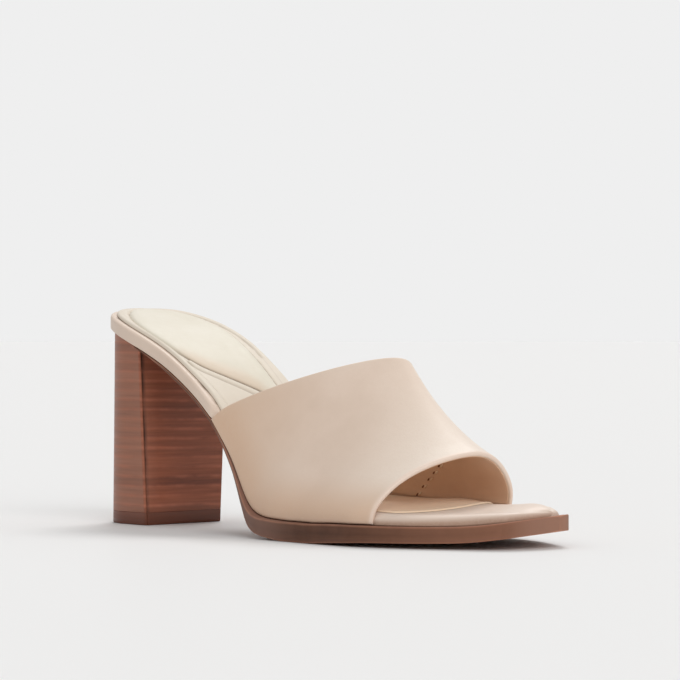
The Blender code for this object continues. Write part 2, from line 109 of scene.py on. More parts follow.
# Finer shapes that only the looks have
PAD_ROUND = {"lateral": 0.005, "medial": 0.0036}  # how far the toe pad rounds in
PAD_SIDE = 0.88            # share of its thickness over which it rounds
COVER_STEP = 0.0045        # the board draws in under the upper over this length
COVER_LEAD = 0.0015        # and starts this far before the upper's corners
SOCK_PANEL = 0.001         # thickness of the sock's flat panels
SOCK_BEAD = 0.00045        # how far its beads stand above them
SOCK_FRONT_THICKNESS = 0.0006  # at its thin front edge
CUSHION_RISE = 0.0016      # the cushion's middle above the panels
CUSHION_ROLL = 0.005       # width of the cushion's rounded edge
SEAM_DEPTH = 0.0004        # depth of the sewn lines
SEAM_WIDTH = 0.00042       # half of their width
BEAD_SEAM_DEPTH = 0.7      # depth of those beside the beads, as a share of it
GROOVE_WIDTH = 0.5 * SEAM_WIDTH  # painted shade, a dark line in the groove where the rim meets the sock
GROOVE_END = (0.07, 0.09)  # along the shoe, full to none
EDGE_TURN = 0.0008         # rounding of the upper's turned edges
LINING_MARGIN = 0.0014     # how far inside those edges the lining stops
LINING_MOST = 0.9          # share of a row's distance that it moves in at most
LINING_THICKNESS = 0.0003
CREASE_DEPTH = 0.00035     # groove where the heel's breast cover meets its wrap
CORNER_ROUND = 0.00045     # rounding of the heel's front corners
MM = 0.001
TINY = 1e-9
WEAR_HIGHLIGHT_TURN = 45             # degrees between faces that count as a full corner
WEAR_HIGHLIGHT_SPREAD = 2            # how many vertices away the paler edge, partly wear and partly a painted highlight, still shows
WEAR_HIGHLIGHT_FADE = 0.55           # share of it that is left at each
BACK_PLACES = 22           # sections in the rounded back
PLACE_STEP = 0.0022        # distance of the sections between back and tip
COVER_PLACES = (0, 0.25, 0.5, 0.75, 1)  # sections at the upper's corners, shares of COVER_STEP
TIP_STRETCH = 0.012        # length of the tip, whose sections lie closer
TIP_PLACES = 14            # sections there
PLACE_GAP = 0.00003        # sections lie at least this far apart
BEVEL_STEP = 0.3           # where the bevel at the sole's end turns, as a share of it
SOLE_LEVELS = (0.07, 0.5, 0.93)  # points on the sides of sole and board, by height
BOARD_LEVELS = (0.33, 0.67)
WIDEST_ROUND = 0.45        # share of the width that a rounded edge takes at most
CROWN_POINTS = 26          # points across the board between its rounded edges
SOCK_TURN = 0.014          # the sock's rounded back ends here
SOCK_DETAIL = 0.054        # its finest rows start here
SOCK_COVERED = 0.088       # the upper covers it from here on
SOCK_STEPS = (0.0008, 0.00045, 0.004)  # distances of the rows that start at these three
SOCK_TURN_ROWS = 26
SOCK_FRONT_ROWS = 24
SOCK_COLUMNS = 112
SOCK_CROWDING = 0.35       # how far its columns crowd towards its edges, 0 to 1
SOCK_BORDER_POINTS = 260
GROOVE_POINTS = 200
SOCK_FLATTENING = 0.02     # its beads end over this length from there on
SOCK_BACK = 0.00005        # how far its drawn edge starts from its very back
SOCK_EDGE_ROUND = 0.0008   # width of its rounded edge
SOCK_FLAT_ROUND = 0.3      # share of that width where the upper covers it
SOCK_EDGE_HEIGHT = 0.35    # share of its height that is left at the edge
SOCK_THINNEST = 0.0002
CUSHION_MIDDLE = 0.018     # how far in the cushion still rises
CUSHION_SWELL = 0.8        # share of the rise that its rounded edge takes
LINING_LIFT = 0.00004      # gap behind the lining and below it
TOE_CORNER = {"lateral": (0.006, 0.72), "medial": (0.002, 0.2)}  # length, share of the width
TOE_TURNS = 12             # sections in each of these corners
SHANK_TAPER = 0.03         # the sole is thinner at the heel's breast and full this far from it
SHANK_THINNED = 0.75       # share of its thickness that it has lost there
LIFT_LEVELS = (0.3, 0.6)   # points on the side of the top lift, by height
LIFT_SEAM = 0.00006        # rounding on both sides of the seam above the top lift
FOOT_SHADE_BAND = 0.02           # how far up the upper its painted shade above the sole reaches
ARCH_RISE = 0.0008         # how much higher the sock is at the medial side
ARCH_ACROSS = (0.002, 0.017)  # across the shoe, none to full
ARCH_END = (0.07, 0.11)    # along it, full to none
CUSHION_SEAM = 0.15        # how dark the cushion's seam is at the heel
SEWN_FROM = (0.045, 0.064)  # where it turns into the dark sewn line
FAR_SEAM = 0.6             # how dark it is further than SEWN_SIDE to the medial side
SEWN_SIDE = 0.01
PAD_SHADE_HEIGHT = 0.0046  # how far up its side the toe pad's painted shade reaches
PAD_SHADE_POWER = 1.8      # how fast that fades upwards
PAD_SHADE_START = (0.085, 0.11)  # along the shoe, none to full
CUSHION_SHADE = 0.011      # how far the painted shade on the cushion reaches beside its dark sewn line
PIPING_SEAM = 0.45         # how dark the seams are beside the piping and the beads
BEAD_SEAM = 0.3
OPENING_BAND = 0.002       # width of the paler band round the toe opening, partly a painted highlight along its roll
CREASE_PLACE = 0.0007      # the groove's distance from the heel's corner
CREASE_WIDTH = 0.0003
HEEL_STRAIGHT_END = 0.0015  # where its straight sides start behind the breast
# Points on half of a heel section: its rounded back, breast and side, and the sections
HEEL_TURNS = 22
BREAST_POINTS = 8
SIDE_POINTS = 6
HEEL_LAYERS = 36

# Stitches of the lining
STITCH_SIDES = 8
CAP = (0.35, 0.8)          # width and height of a stitch's ends, in its radii
SEAM_BEFORE = 4            # columns of the lining before and after the seen part of its seam
SEAM_AFTER = 8
STITCH_STEP = 0.0046
STITCH_LENGTH = 0.0014
STITCH_RADIUS = 0.00028
HOLE_LENGTH = 0.001
HOLE_RADIUS = 0.00028
HOLE_LIFT = 0.1            # in radii of a stitch above the lining
THREAD_LIFT = 0.4
THREAD_AHEAD = 0.6         # in lengths of a hole from its middle
THREAD_ASIDE = 0.8
# Points on the seam of the lining as the photograph shows it
SEAM_PIXELS = ((437, 467), (432.5, 474), (428.5, 480.5), (423.5, 487.5), (417.5, 494))

# Sewn lines of the sock, in millimetres from the back of the seat and the centre line
CUSHION_LINE = (
    (5.8, 0), (6.3, -3.2), (7.6, -6.2), (9.6, -9), (12.4, -11.9), (17, -15.2), (24, -19), (33, -21.3),
    (44, -21.7), (52, -21.2), (58, -20), (63, -17.3), (66, -14.3), (69.5, -9.5), (72.5, -5.2),
    (76.6, 1), (80, 5.5), (82.5, 8.5), (82.7, 9.8), (80, 10.8), (74, 11.7), (71.3, 12), (65.7, 12.8),
    (60, 13.7), (48, 15.6), (41, 16.8), (35, 17.1), (26, 16.5), (17, 13.7), (12.2, 11), (9.4, 8.4),
    (7.4, 5.6), (6.2, 2.8),
)
SOCK_LINES = {
    "lateral_bead": (
        (5, 0), (6.3, -3.2), (7.6, -6.2), (9.6, -9), (12.4, -11.9), (17, -15.2), (24, -19),
        (33, -21.3), (44, -21.7), (52, -21.4), (58, -21.4), (62, -21.4), (67.6, -21), (70.4, -20.3),
        (75.4, -19.8), (82, -19.3), (90, -18.6), (120, -26), (150, -26),
    ),
    "medial_bead": (
        (5, 0), (6.2, 2.8), (7.4, 5.6), (9.4, 8.8), (12.2, 12), (17, 15.6), (26, 18.8), (35, 19.8),
        (48, 19.2), (60, 17), (75, 14.6), (90, 13.6), (120, 22), (150, 26),
    ),
    "piping": (
        (60, -21.2), (65, -20.2), (68.5, -16), (72, -11.5), (75, -7), (77.6, -3.2), (81, 2), (84, 6.5),
    ),
}

# Colours, 0 to 255 on a screen. Leathers and sole: dark, middle, light, and that of their paler edges,
# partly wear and partly a painted highlight
BACKDROP = (239, 239, 239)
UPPER = (219, 197, 179), (228, 207, 190), (234, 215, 199), (238, 226, 212)
LINING = (214, 176, 146), (224, 189, 160), (232, 200, 172), (232, 200, 172)
SOCK = (219, 211, 193), (227, 220, 204), (233, 227, 213), (233, 227, 213)
RIM_WRAP = (216, 194, 176), (222, 202, 185), (228, 209, 193), (248, 236, 222)
SOLE = (56, 34, 23), (66, 41, 28), (77, 50, 36), (196, 138, 112)
# Heel: dark, middle, light and the glued lines. Thread and holes: dark and light
STACK = (112, 70, 54), (146, 96, 74), (176, 121, 99), (184, 108, 80)
LIFT = (80, 44, 30), (102, 56, 38), (120, 68, 48), (80, 44, 30)
THREAD = (236, 208, 176), (252, 234, 210)
HOLE = (122, 84, 60), (142, 102, 76)
# the toe opening's paler edge: partly its own tone, partly a painted highlight along its roll
OPENING_EDGE = (236, 214, 198)
CREASE_SHADE = (30, 18, 14)
# painted shade: darkens and reddens the heel's breast, which lies in shade under the arch
BREAST_SHADE_TINT = (255, 205, 168)

# Tints: colour, share at most, and ranges along the shoe or of an attribute, none to full
# darker in the sewn lines and grooves: partly the stitching's own dark tone, partly painted shade in the
# grooves
IN_SEAMS = ((120, 96, 76), 0.85, (0.05, 0.9, "seam"))
UPPER_LIGHT_AND_SHADE = (
    ((215, 182, 153), 0.85, (0.13, 0.06)),        # painted shade, darker and warmer towards the back
    ((234, 222, 209), 0.8, (0.125, 0.175)),       # painted light, paler towards the toe
    ((216, 181, 152), 0.85, (0, 0.9, "foot")),    # painted shade, darker and warmer just above the sole
)
SOCK_TINTS = (
    ((222, 210, 194), 0.9, (1, 0, "cushion")),    # the panels and beads
    ((220, 200, 178), 0.8, (0, 1, "shade")),      # painted shade on the cushion by its dark sewn line
    ((246, 216, 184), 0.9, (0.085, 0.125)),       # under the vamp
    IN_SEAMS,
)
RIM_TINTS = (
    ((236, 219, 205), 0.9, (0.12, 0.15)),         # the toe pad
    ((220, 200, 185), 0.5, (0.165, 0.2)),         # its tip
    ((164, 130, 108), 0.9, (0, 0.9, "foot")),     # painted shade on its side, darker down to the sole
    IN_SEAMS,
)
SOLE_LIGHT_AND_SHADE = (
    ((124, 84, 64), 0.9, (0.14, 0.205)),          # painted light, the toe lighter where it faces the light
    ((152, 114, 96), 0.8, (0.2025, 0.2075)),      # painted highlight on its tip
    ((118, 92, 82), 0.8, (0.128, 0.104), (0.058, 0.078)),  # painted sheen, greyer and lighter on the waist
    ((66, 46, 36), 0.9, (0.075, 0.058)),          # painted shade on the shank under the heel seat
)

# Texture: sizes that the materials use
LEATHER_RELIEF = 0.00016
SOLE_RELIEF = 0.00015
STACK_RELIEF = 0.0002
STACK_PITCH = 0.00375      # thickness of one layer of the heel's stack
LIFT_PITCH = 0.01          # the same in the top lift
LAYER_WOBBLE = 0.0016      # how far they wander up and down
LAYER_TILT = 0.02          # rise of the layers across the heel
LINE_REACH = 0.3           # half width of a layer's glued line, in layers
SIDE_LINES = 0.45          # how strong these lines are on the heel's sides
SIDE_CALM = 0.45           # how far the layers' tones are evened out there
BREAST_SHADE_SHARE = 0.75        # how strong the breast's painted shade is
HEEL_WEAR_HIGHLIGHT = 0.35           # how strong the paler corners are, partly wear and partly a painted highlight

# Light: aside and towards as the camera sees the shoe, height, strength, softness, colour
ROOM_COLOUR = (1, 0.985, 0.965)
ROOM_LIGHT = 0.51
FLOOR_ALBEDO = 0.865
FLOOR_ROUGHNESS = 0.55
FLOOR_GLOSS = 0.02
FLOOR_RADIUS = 60.0
FLOOR_DROP = 0.0001
SUNS = (
    ("key_light", 0.3, 0.7, 0.46, 1.06, 40, (0.99, 1, 1.01)),
    ("top_light", 0.2, -0.65, 1, 1.14, 26, (1, 1, 1)),
)


def table(columns, *rows):
    """Rows of numbers under named columns."""
    return dict(zip(columns.split(), np.array(rows, dtype=float).T))


# Side view. along: share of LENGTH. heel and toe: shares of HEEL_HEIGHT and TOE_SPRING.
# sole: 0 is SHANK_THICKNESS, 1 is SOLE_THICKNESS. twist: share of TOE_TWIST.
PROFILE = table(
    "along heel toe sole twist",
    (0, 1, 0, 0, 0),
    (0.05, 0.969, 0, 0, 0),
    (0.113, 0.918, 0, 0, 0),
    (0.183, 0.845, 0, 0, 0),
    (0.234, 0.78, 0, 0, 0),
    (0.295, 0.677, 0, 0, 0),
    (0.35, 0.558, 0, 0, 0),
    (0.384, 0.463, 0, 0, 0),
    (0.429, 0.318, 0, 0.06, 0),
    (0.45, 0.238, 0, 0.2, 0),
    (0.473, 0.144, 0, 0.46, 0),
    (0.49, 0.078, 0, 0.84, 0),
    (0.5, 0.054, 0, 0.96, 0),
    (0.52, 0.03, 0, 1.06, 0),
    (0.54, 0.018, 0, 1.12, 0),
    (0.56, 0.01, 0, 1.2, 0),
    (0.6, 0, 0, 1.3, 0),
    (0.65, 0, 0, 1.29, 0),
    (0.7, 0, 0.12, 1.24, 0),
    (0.741, 0, 0.23, 1.16, 0.03),
    (0.786, 0, 0.34, 1.07, 0.09),
    (0.83, 0, 0.4, 1.03, 0.17),
    (0.885, 0, 0.49, 1, 0.38),
    (0.92, 0, 0.58, 1, 0.68),
    (0.942, 0, 0.67, 1, 0.88),
    (0.965, 0, 0.79, 1, 1),
    (0.982, 0, 0.88, 1, 1),
    (1, 0, 1, 1, 1),
)

# Top view. ball: 0 follows SEAT_WIDTH, 1 follows BALL_WIDTH. lateral and medial: shares
# of that width either side of the centre line. ledge: share of LEDGE inside the outsole.
OUTLINE = table(
    "along ball lateral medial ledge",
    (0, 0, 0.5, 0.49, 0),
    (0.165, 0, 0.5, 0.488, 0),
    (0.268, 0, 0.506, 0.442, 0),
    (0.375, 0.2, 0.478, 0.398, 0),
    (0.429, 0.4, 0.484, 0.407, 0.42),
    (0.473, 0.6, 0.502, 0.437, 0.77),
    (0.531, 0.8, 0.526, 0.463, 1.17),
    (0.607, 1, 0.501, 0.462, 1.17),
    (0.674, 1, 0.506, 0.475, 1.05),
    (0.741, 1, 0.505, 0.49, 0.95),
    (0.808, 1, 0.454, 0.491, 0.87),
    (0.853, 1, 0.396, 0.467, 0.85),
    (0.897, 1, 0.314, 0.419, 0.85),
    (0.942, 1, 0.222, 0.354, 0.85),
    (0.965, 1, 0.172, 0.314, 0.85),
    (0.982, 1, 0.12, 0.282, 0.85),
    (0.993, 1, 0.066, 0.26, 0.85),
    (1, 1, -0.01, 0.235, 0.85),
)

# Upper: ribs from the topline (rib 0) to the toe opening (rib 1)
FEATHER_LATERAL = (0.373, 0.7893)
FEATHER_MEDIAL = (0.426, 0.805)
CREST = table(
    "rib along side height lateral medial lean",
    (0, 0.6857, 0.095, 1, 1.47, 1.83, 0.007),
    (0.5, 0.7656, 0.075, 0.695, 1.62, 1.85, -0.001),
    (1, 0.8518, 0.07, 0.49, 1.76, 1.87, -0.01),
)
RIBS = 65
RIB_POINTS = 96
RIB_SAMPLES = 48
RIB_SMOOTHING = 14


def curve_through(places, values):
    """A smooth curve through a table's rows that doesn't overshoot them."""
    step = np.diff(places)
    slope = np.diff(values) / step
    tangent = np.zeros(len(places))
    tangent[0] = slope[0]
    tangent[-1] = slope[-1]
    for i in range(1, len(places) - 1):
        if slope[i - 1] * slope[i] > 0:
            before = 2 * step[i] + step[i - 1]
            after = step[i] + 2 * step[i - 1]
            tangent[i] = (before + after) / (before / slope[i - 1] + after / slope[i])

    def value(place):
        place = min(max(place, places[0]), places[-1])
        i = min(int(np.searchsorted(places, place, side="right")) - 1, len(step) - 1)
        t = (place - places[i]) / step[i]
        from_left = values[i] * (1 + 2 * t) + step[i] * tangent[i] * t
        from_right = values[i + 1] * (3 - 2 * t) - step[i] * tangent[i + 1] * (1 - t)
        return from_left * (1 - t) ** 2 + from_right * t ** 2

    return value


def column(rows, name):
    """One column of a table as a curve over its first."""
    return curve_through(next(iter(rows.values())), rows[name])


heel_rise = column(PROFILE, "heel")
toe_rise = column(PROFILE, "toe")
sole_share = column(PROFILE, "sole")
twist_share = column(PROFILE, "twist")
ball_share = column(OUTLINE, "ball")
ledge_share = column(OUTLINE, "ledge")
side_share = {"lateral": column(OUTLINE, "lateral"), "medial": column(OUTLINE, "medial")}
SIDE_SIGN = {"lateral": -1.0, "medial": 1.0}


def sole_line(x):
    """Height of the sole's underside, x measured from the back of the seat."""
    along = x / LENGTH
    return HEEL_HEIGHT * heel_rise(along) + TOE_SPRING * toe_rise(along)


def sole_top(x):
    """Height of the outsole's upper face, where the heel block ends too."""
    share = sole_share(x / LENGTH)
    return sole_line(x) + SHANK_THICKNESS + (SOLE_THICKNESS - SHANK_THICKNESS) * share


def board_bottom(x):
    return sole_top(x) + GAP


def board_thickness(x):
    return BOARD_THICKNESS + (PAD_THICKNESS - BOARD_THICKNESS) * pad_share(x)


def board_top(x):
    return board_bottom(x) + board_thickness(x)


def smooth_step(value):
    """0 to 1 with a soft start and end."""
    value = min(max(value, 0.0), 1.0)
    return value * value * (3 - 2 * value)


def seat_rounding(x, start=0.0):
    """Share of the full width that is left in the rounded back, which starts at start."""
    if x >= SEAT_ROUND:
        return 1.0
    left = 1 - max(x - start, 0.0) / (SEAT_ROUND - start)
    return (1 - left ** SEAT_SQUARENESS) ** (1 / SEAT_SQUARENESS)


def straight_outline(x, side):
    """Outsole's edge before the seat's rounding: distance from the centre line."""
    along = x / LENGTH
    width = SEAT_WIDTH + (BALL_WIDTH - SEAT_WIDTH) * ball_share(along)
    return width * side_share[side](along)


def outline(x, side):
    return straight_outline(x, side) * seat_rounding(x)


def foot_edge(x, side):
    """Outer face of the upper at its foot, and the board's edge where no upper is."""
    return outline(x, side) - LEDGE * ledge_share(x / LENGTH)


def feather(side):
    return FEATHER_LATERAL if side == "lateral" else FEATHER_MEDIAL


def board_slope(x):
    """Angle at which the board falls towards the toe."""
    return math.atan((board_top(x - WALL) - board_top(x + WALL)) / (2 * WALL))


def cover_ends(side):
    """Where the upper's wall starts and ends along the board's side."""
    back, front = (share * LENGTH for share in feather(side))
    slope = board_slope(back)
    return back - board_thickness(back) * math.sin(slope) * math.cos(slope) - GAP, front + GAP


def covered(x, side):
    """1 where the upper covers the board's side, 0 where the board shows."""
    back, front = cover_ends(side)
    rising = smooth_step((x - back + COVER_LEAD) / COVER_STEP)
    falling = smooth_step((x - front + COVER_STEP - COVER_LEAD) / COVER_STEP)
    return rising * (1 - falling)


def board_edge(x, side):
    """The board's edge, drawn in where the upper lies against it."""
    return foot_edge(x, side) - (WALL + GAP) * covered(x, side)


def pad_share(x):
    """0 on the heel's board, 1 on the toe pad."""
    return smooth_step((x / LENGTH - PAD_START) / (PAD_FULL - PAD_START))


def draw_in(x):
    """Footbed's own place for an outsole station, so that its toe is squared alike."""
    return x - TOE_LEDGE * smooth_step((x / LENGTH - TOE_START) / (1 - TOE_START))


def quarter_round(distance, length):
    """0 at an end, rising like a quarter of a circle to 1 at length from it."""
    left = max(1 - distance / length, 0.0)
    return math.sqrt(1 - left ** 2)


def crown(place, share):
    """Rise of the board's upper face, share going from 0 to 1 across it."""
    across_it = 1 - (2 * share ** PAD_SKEW - 1) ** 2
    return PAD_CROWN * pad_share(place) * across_it * quarter_round(LENGTH - place, PAD_FRONT)


def end_drop(place):
    """How far the board's upper face comes down at its two ends."""
    front = PAD_DROP * (1 - quarter_round(LENGTH - place, PAD_FRONT))
    return front + BACK_DROP * (1 - quarter_round(place, RIM_ROUND))


def through_crest(name, rib):
    """The parabola through the three rows of the crest table."""
    low, middle, high = CREST[name]
    return (low * (1 - rib) * (1 - 2 * rib) + middle * 4 * rib * (1 - rib)
            + high * rib * (2 * rib - 1))


def rib_base(rib, side):
    """Where a rib meets the board's upper edge."""
    back, front = feather(side)
    x = (back + (front - back) * rib) * LENGTH
    return np.array([x, SIDE_SIGN[side] * foot_edge(x, side), board_top(x)])


def eased_base(rib, side):
    """The same line without the tight bend at the ball, which the leather spans."""
    start = rib_base(0.0, side)
    end = rib_base(1.0, side)
    middle = rib_base(BALL_RIB, side)
    control = middle + BALL_SPAN * (middle - (start + end) / 2)
    return (1 - rib) ** 2 * start + 2 * rib * (1 - rib) * control + rib ** 2 * end


def rib_foot(base):
    """Lower edge of the upper, straight down the board's side from a rib's base."""
    slope = board_slope(base[0])
    x = base[0] - board_thickness(base[0]) * math.cos(slope) * math.sin(slope)
    return np.array([x, base[1], board_bottom(x)])


def half_rib(end, centre, top, fullness, lean):
    """A quarter of a superellipse from the board's edge to the crest."""
    points = []
    for angle in np.linspace(0, math.pi / 2, RIB_SAMPLES):
        out = max(math.cos(angle), 0.0) ** (2 / fullness)
        up = math.sin(angle) ** (2 / fullness)
        point = centre + (end - centre) * out + (top - centre) * up
        point[0] += lean * math.sin(2 * angle) ** 2
        points.append(point)
    return points


def rib_line(rib):
    """One rib, from the lateral feather edge over the foot to the medial one."""
    ends = {side: eased_base(rib, side) for side in SIDE_SIGN}
    top = np.array([through_crest("along", rib) * LENGTH, through_crest("side", rib) * BALL_WIDTH,
                    through_crest("height", rib) * INSTEP_HEIGHT])
    share = (top[1] - ends["lateral"][1]) / (ends["medial"][1] - ends["lateral"][1])
    centre = ends["lateral"] + (ends["medial"] - ends["lateral"]) * share
    lean = through_crest("lean", rib) * LENGTH
    halves = {side: half_rib(ends[side], centre, top, through_crest(side, rib), lean)
              for side in SIDE_SIGN}
    line = np.array(halves["lateral"] + halves["medial"][::-1][1:])
    way = np.linspace(0, 1, len(line))
    for side, from_end in (("lateral", way), ("medial", 1 - way)):
        pull = np.clip(1 - from_end / RIB_FADE, 0, 1) ** 2
        line += np.outer(pull, rib_base(rib, side) - ends[side])
    line = spread(np.vstack([rib_foot(line[0]), line, rib_foot(line[-1])]), 2 * RIB_SAMPLES)
    for _ in range(RIB_SMOOTHING):
        line[1:-1] = (line[:-2] + 2 * line[1:-1] + line[2:]) / 4
    return spread(line, RIB_POINTS)


def spread(line, count):
    """The same line with count points at equal distances."""
    lengths = np.linalg.norm(np.diff(line, axis=0), axis=1)
    way = np.concatenate([[0.0], np.cumsum(lengths)])
    wanted = np.linspace(0, way[-1], count)
    return np.stack([np.interp(wanted, way, line[:, axis]) for axis in range(3)], axis=1)


def upper_skin():
    """Outer face of the upper as a grid, ribs by points."""
    return np.array([rib_line(i / (RIBS - 1)) for i in range(RIBS)])


def inward(grid):
    """Directions from the upper's outer face towards the foot."""
    along = np.gradient(grid, axis=0)
    around = np.gradient(grid, axis=1)
    normal = np.cross(along, around)
    normal /= np.linalg.norm(normal, axis=2)[:, :, None]
    middle = grid.shape[1] // 2
    if normal[0, middle, 2] > 0:
        normal = -normal
    return normal


def heel_half_width(from_back, width):
    """Half of the heel's width, in its rounded back and its straight sides."""
    if from_back >= HEEL_ROUND:
        return width / 2
    left = 1 - from_back / HEEL_ROUND
    return width / 2 * (1 - left ** HEEL_SQUARENESS) ** (1 / HEEL_SQUARENESS)


def heel_section(share):
    """Depth and width of the heel at a share of its height."""
    depth = HEEL_DEPTH + (HEEL_TOP_DEPTH - HEEL_DEPTH) * share
    width = HEEL_WIDTH + (HEEL_TOP_WIDTH - HEEL_WIDTH) * share
    return depth, width


def place(x, y, z):
    """A point measured from the back of the seat, in the frame, with the toe's twist."""
    return (x - ORIGIN, y, z + y * TOE_TWIST * twist_share(x / LENGTH))


def new_object(name, data):
    made = bpy.data.objects.new(name, data)
    bpy.context.scene.collection.objects.link(made)
    return made


def add_piece(name, shape, finish, node, sharp=38):
    """A piece from vertices, measured from the back of the seat, and faces."""
    mesh = bpy.data.meshes.new(name)
    mesh.from_pydata([place(*point) for point in shape[0]], [], shape[1])
    return finish_piece(name, mesh, [finish], node, sharp)


def finish_piece(name, mesh, finishes, node, sharp):
    """An object in the frame that rides on the root body and stands for its CAD node.

    sharp is the angle in degrees above which an edge isn't smoothed."""
    bm = bmesh.new()
    bm.from_mesh(mesh)
    bmesh.ops.recalc_face_normals(bm, faces=bm.faces)
    bm.to_mesh(mesh)
    bm.free()
    mesh.shade_smooth()
    mesh.set_sharp_from_angle(angle=math.radians(sharp))
    for finish in finishes:
        mesh.materials.append(finish)
    mark_edges(mesh)
    piece = new_object(name, mesh)
    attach(piece, "root")
    if node:
        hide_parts(node)
    return piece


def mark_edges(mesh):
    """Attribute wear_and_highlight: 1 at corners, fading over the next vertices, where handling shows
    and where the edges get a painted highlight.
    """
    bm = bmesh.new()
    bm.from_mesh(mesh)
    wear_and_highlight = np.zeros(len(bm.verts))
    for edge in bm.edges:
        if len(edge.link_faces) == 2 and edge.is_convex:
            share = min(edge.calc_face_angle(0.0) / math.radians(WEAR_HIGHLIGHT_TURN), 1.0)
            for vertex in edge.verts:
                wear_and_highlight[vertex.index] = max(wear_and_highlight[vertex.index], share)
    pairs = np.array([[vertex.index for vertex in edge.verts] for edge in bm.edges])
    bm.free()
    for _ in range(WEAR_HIGHLIGHT_SPREAD):
        wider = wear_and_highlight.copy()
        np.maximum.at(wider, pairs[:, 0], wear_and_highlight[pairs[:, 1]] * WEAR_HIGHLIGHT_FADE)
        np.maximum.at(wider, pairs[:, 1], wear_and_highlight[pairs[:, 0]] * WEAR_HIGHLIGHT_FADE)
        wear_and_highlight = wider
    add_values(mesh, "wear_and_highlight", wear_and_highlight)


def add_values(mesh, name, values):
    """One number a vertex, for the materials."""
    layer = mesh.attributes.new(name, "FLOAT", "POINT")
    layer.data.foreach_set("value", np.asarray(values, dtype=np.float32))


def skin_rings(rings):
    """Vertices and faces of a closed loft through rings of equally many points."""
    count = len(rings[0])
    vertices = [point for ring in rings for point in ring]
    faces = []
    for i in range(len(rings) - 1):
        for j in range(count):
            k = (j + 1) % count
            faces.append((i * count + j, i * count + k, (i + 1) * count + k, (i + 1) * count + j))
    faces.append(tuple(range(count - 1, -1, -1)))
    faces.append(tuple(range((len(rings) - 1) * count, len(rings) * count)))
    return vertices, faces


def quarter(count):
    """Angles inside a right angle that cut it into count equal parts."""
    return [math.radians(90) * i / count for i in range(1, count)]


def places_along(first, last):
    """Places along the shoe, close together at its rounded back, its edges and its tip."""
    wanted = [SEAT_ROUND * (1 - math.cos(angle)) for angle in quarter(BACK_PLACES)]
    wanted += list(np.arange(SEAT_ROUND, LENGTH, PLACE_STEP))
    wanted += [LENGTH - TIP_STRETCH * (1 - i / TIP_PLACES) ** 2 for i in range(TIP_PLACES)]
    for length, _ in TOE_CORNER.values():
        wanted += [LENGTH - length * (1 - math.sin(angle)) for angle in quarter(TOE_TURNS)]
    for side in SIDE_SIGN:
        back, front = cover_ends(side)
        wanted += [back + COVER_STEP * share for share in COVER_PLACES]
        wanted += [front - COVER_STEP * (1 - share) for share in COVER_PLACES]
    kept = [first]
    for value in sorted(wanted):
        if kept[-1] + PLACE_GAP < value < last - PLACE_GAP:
            kept.append(value)
    return kept + [last]


def corner_cut(x, side):
    """How far the toe's rounded corner lies inside the outline."""
    length, share = TOE_CORNER[side]
    past = min(max(x - (LENGTH - length), 0.0) / length, 1.0)
    width = sum(outline(LENGTH, either) for either in SIDE_SIGN)
    return share * width * (1 - math.sqrt(1 - past ** 2))


def corner(edge, wide, level, deep, turns):
    """Points on a rounded corner between an edge and a level, at turns in degrees."""
    return [(edge - wide * (1 - math.cos(angle)), level - deep * (1 - math.sin(angle)))
            for angle in map(math.radians, turns)]


def closed_ring(x, lateral, medial, between=()):
    """A section from the points of its two sides, listed upwards, and those between them."""
    return [(x, -y, z) for y, z in lateral] + list(between) + [(x, y, z) for y, z in medial[::-1]]


def outsole_ring(x, shrink=0.0):
    """A section of the outsole, with its edges rounded over."""
    thinner = 1 - smooth_step((x - BREAST) / SHANK_TAPER)
    low = sole_line(x) + shrink + SHANK_THINNED * SHANK_THICKNESS * thinner
    high = sole_top(x) - shrink
    sides = []
    for side in SIDE_SIGN:
        edge = outline(x, side) - corner_cut(x, side)
        points = corner(edge, FLOOR_BEVEL, low, -FLOOR_BEVEL, (90, 60, 30, 0))
        points += [(edge, low + FLOOR_BEVEL + (high - SOLE_BEVEL - low - FLOOR_BEVEL) * share)
                   for share in SOLE_LEVELS]
        sides.append(points + corner(edge, SOLE_BEVEL, high, SOLE_BEVEL, (0, 22.5, 45, 67.5, 90)))
    return closed_ring(x, *sides)


def build_outsole():
    rings = [outsole_ring(x) for x in places_along(BREAST + GAP, LENGTH - SOLE_BEVEL)]
    rings.append(outsole_ring(LENGTH - SOLE_BEVEL * BEVEL_STEP, SOLE_BEVEL * BEVEL_STEP))
    rings.append(outsole_ring(LENGTH, SOLE_BEVEL))
    add_piece("outsole_finished", skin_rings(rings), sole_finish(), "outsole")


def board_surface(x):
    """The board's edges, how far its upper edge rounds in and down, and its height."""
    lateral, medial = (board_edge(x, side) - corner_cut(x, side) for side in SIDE_SIGN)
    shift = draw_in(x)
    high = board_top(shift) - end_drop(x)
    pad = pad_share(shift)
    thick = high - board_bottom(shift)
    wide = {side: min(RIM_ROUND + (PAD_ROUND[side] - RIM_ROUND) * pad, WIDEST_ROUND * (lateral + medial))
            for side in SIDE_SIGN}
    deep = min(RIM_ROUND + (PAD_SIDE * thick - RIM_ROUND) * pad, PAD_SIDE * thick)
    return lateral, medial, wide, deep, high


def board_height(x, y):
    """Height of the board's upper face between its rounded edges."""
    lateral, medial, wide, _, high = board_surface(x)
    share = (y + lateral - wide["lateral"]) / (lateral + medial - sum(wide.values()))
    return high + (crown(x, share) if 0 < share < 1 else 0.0)


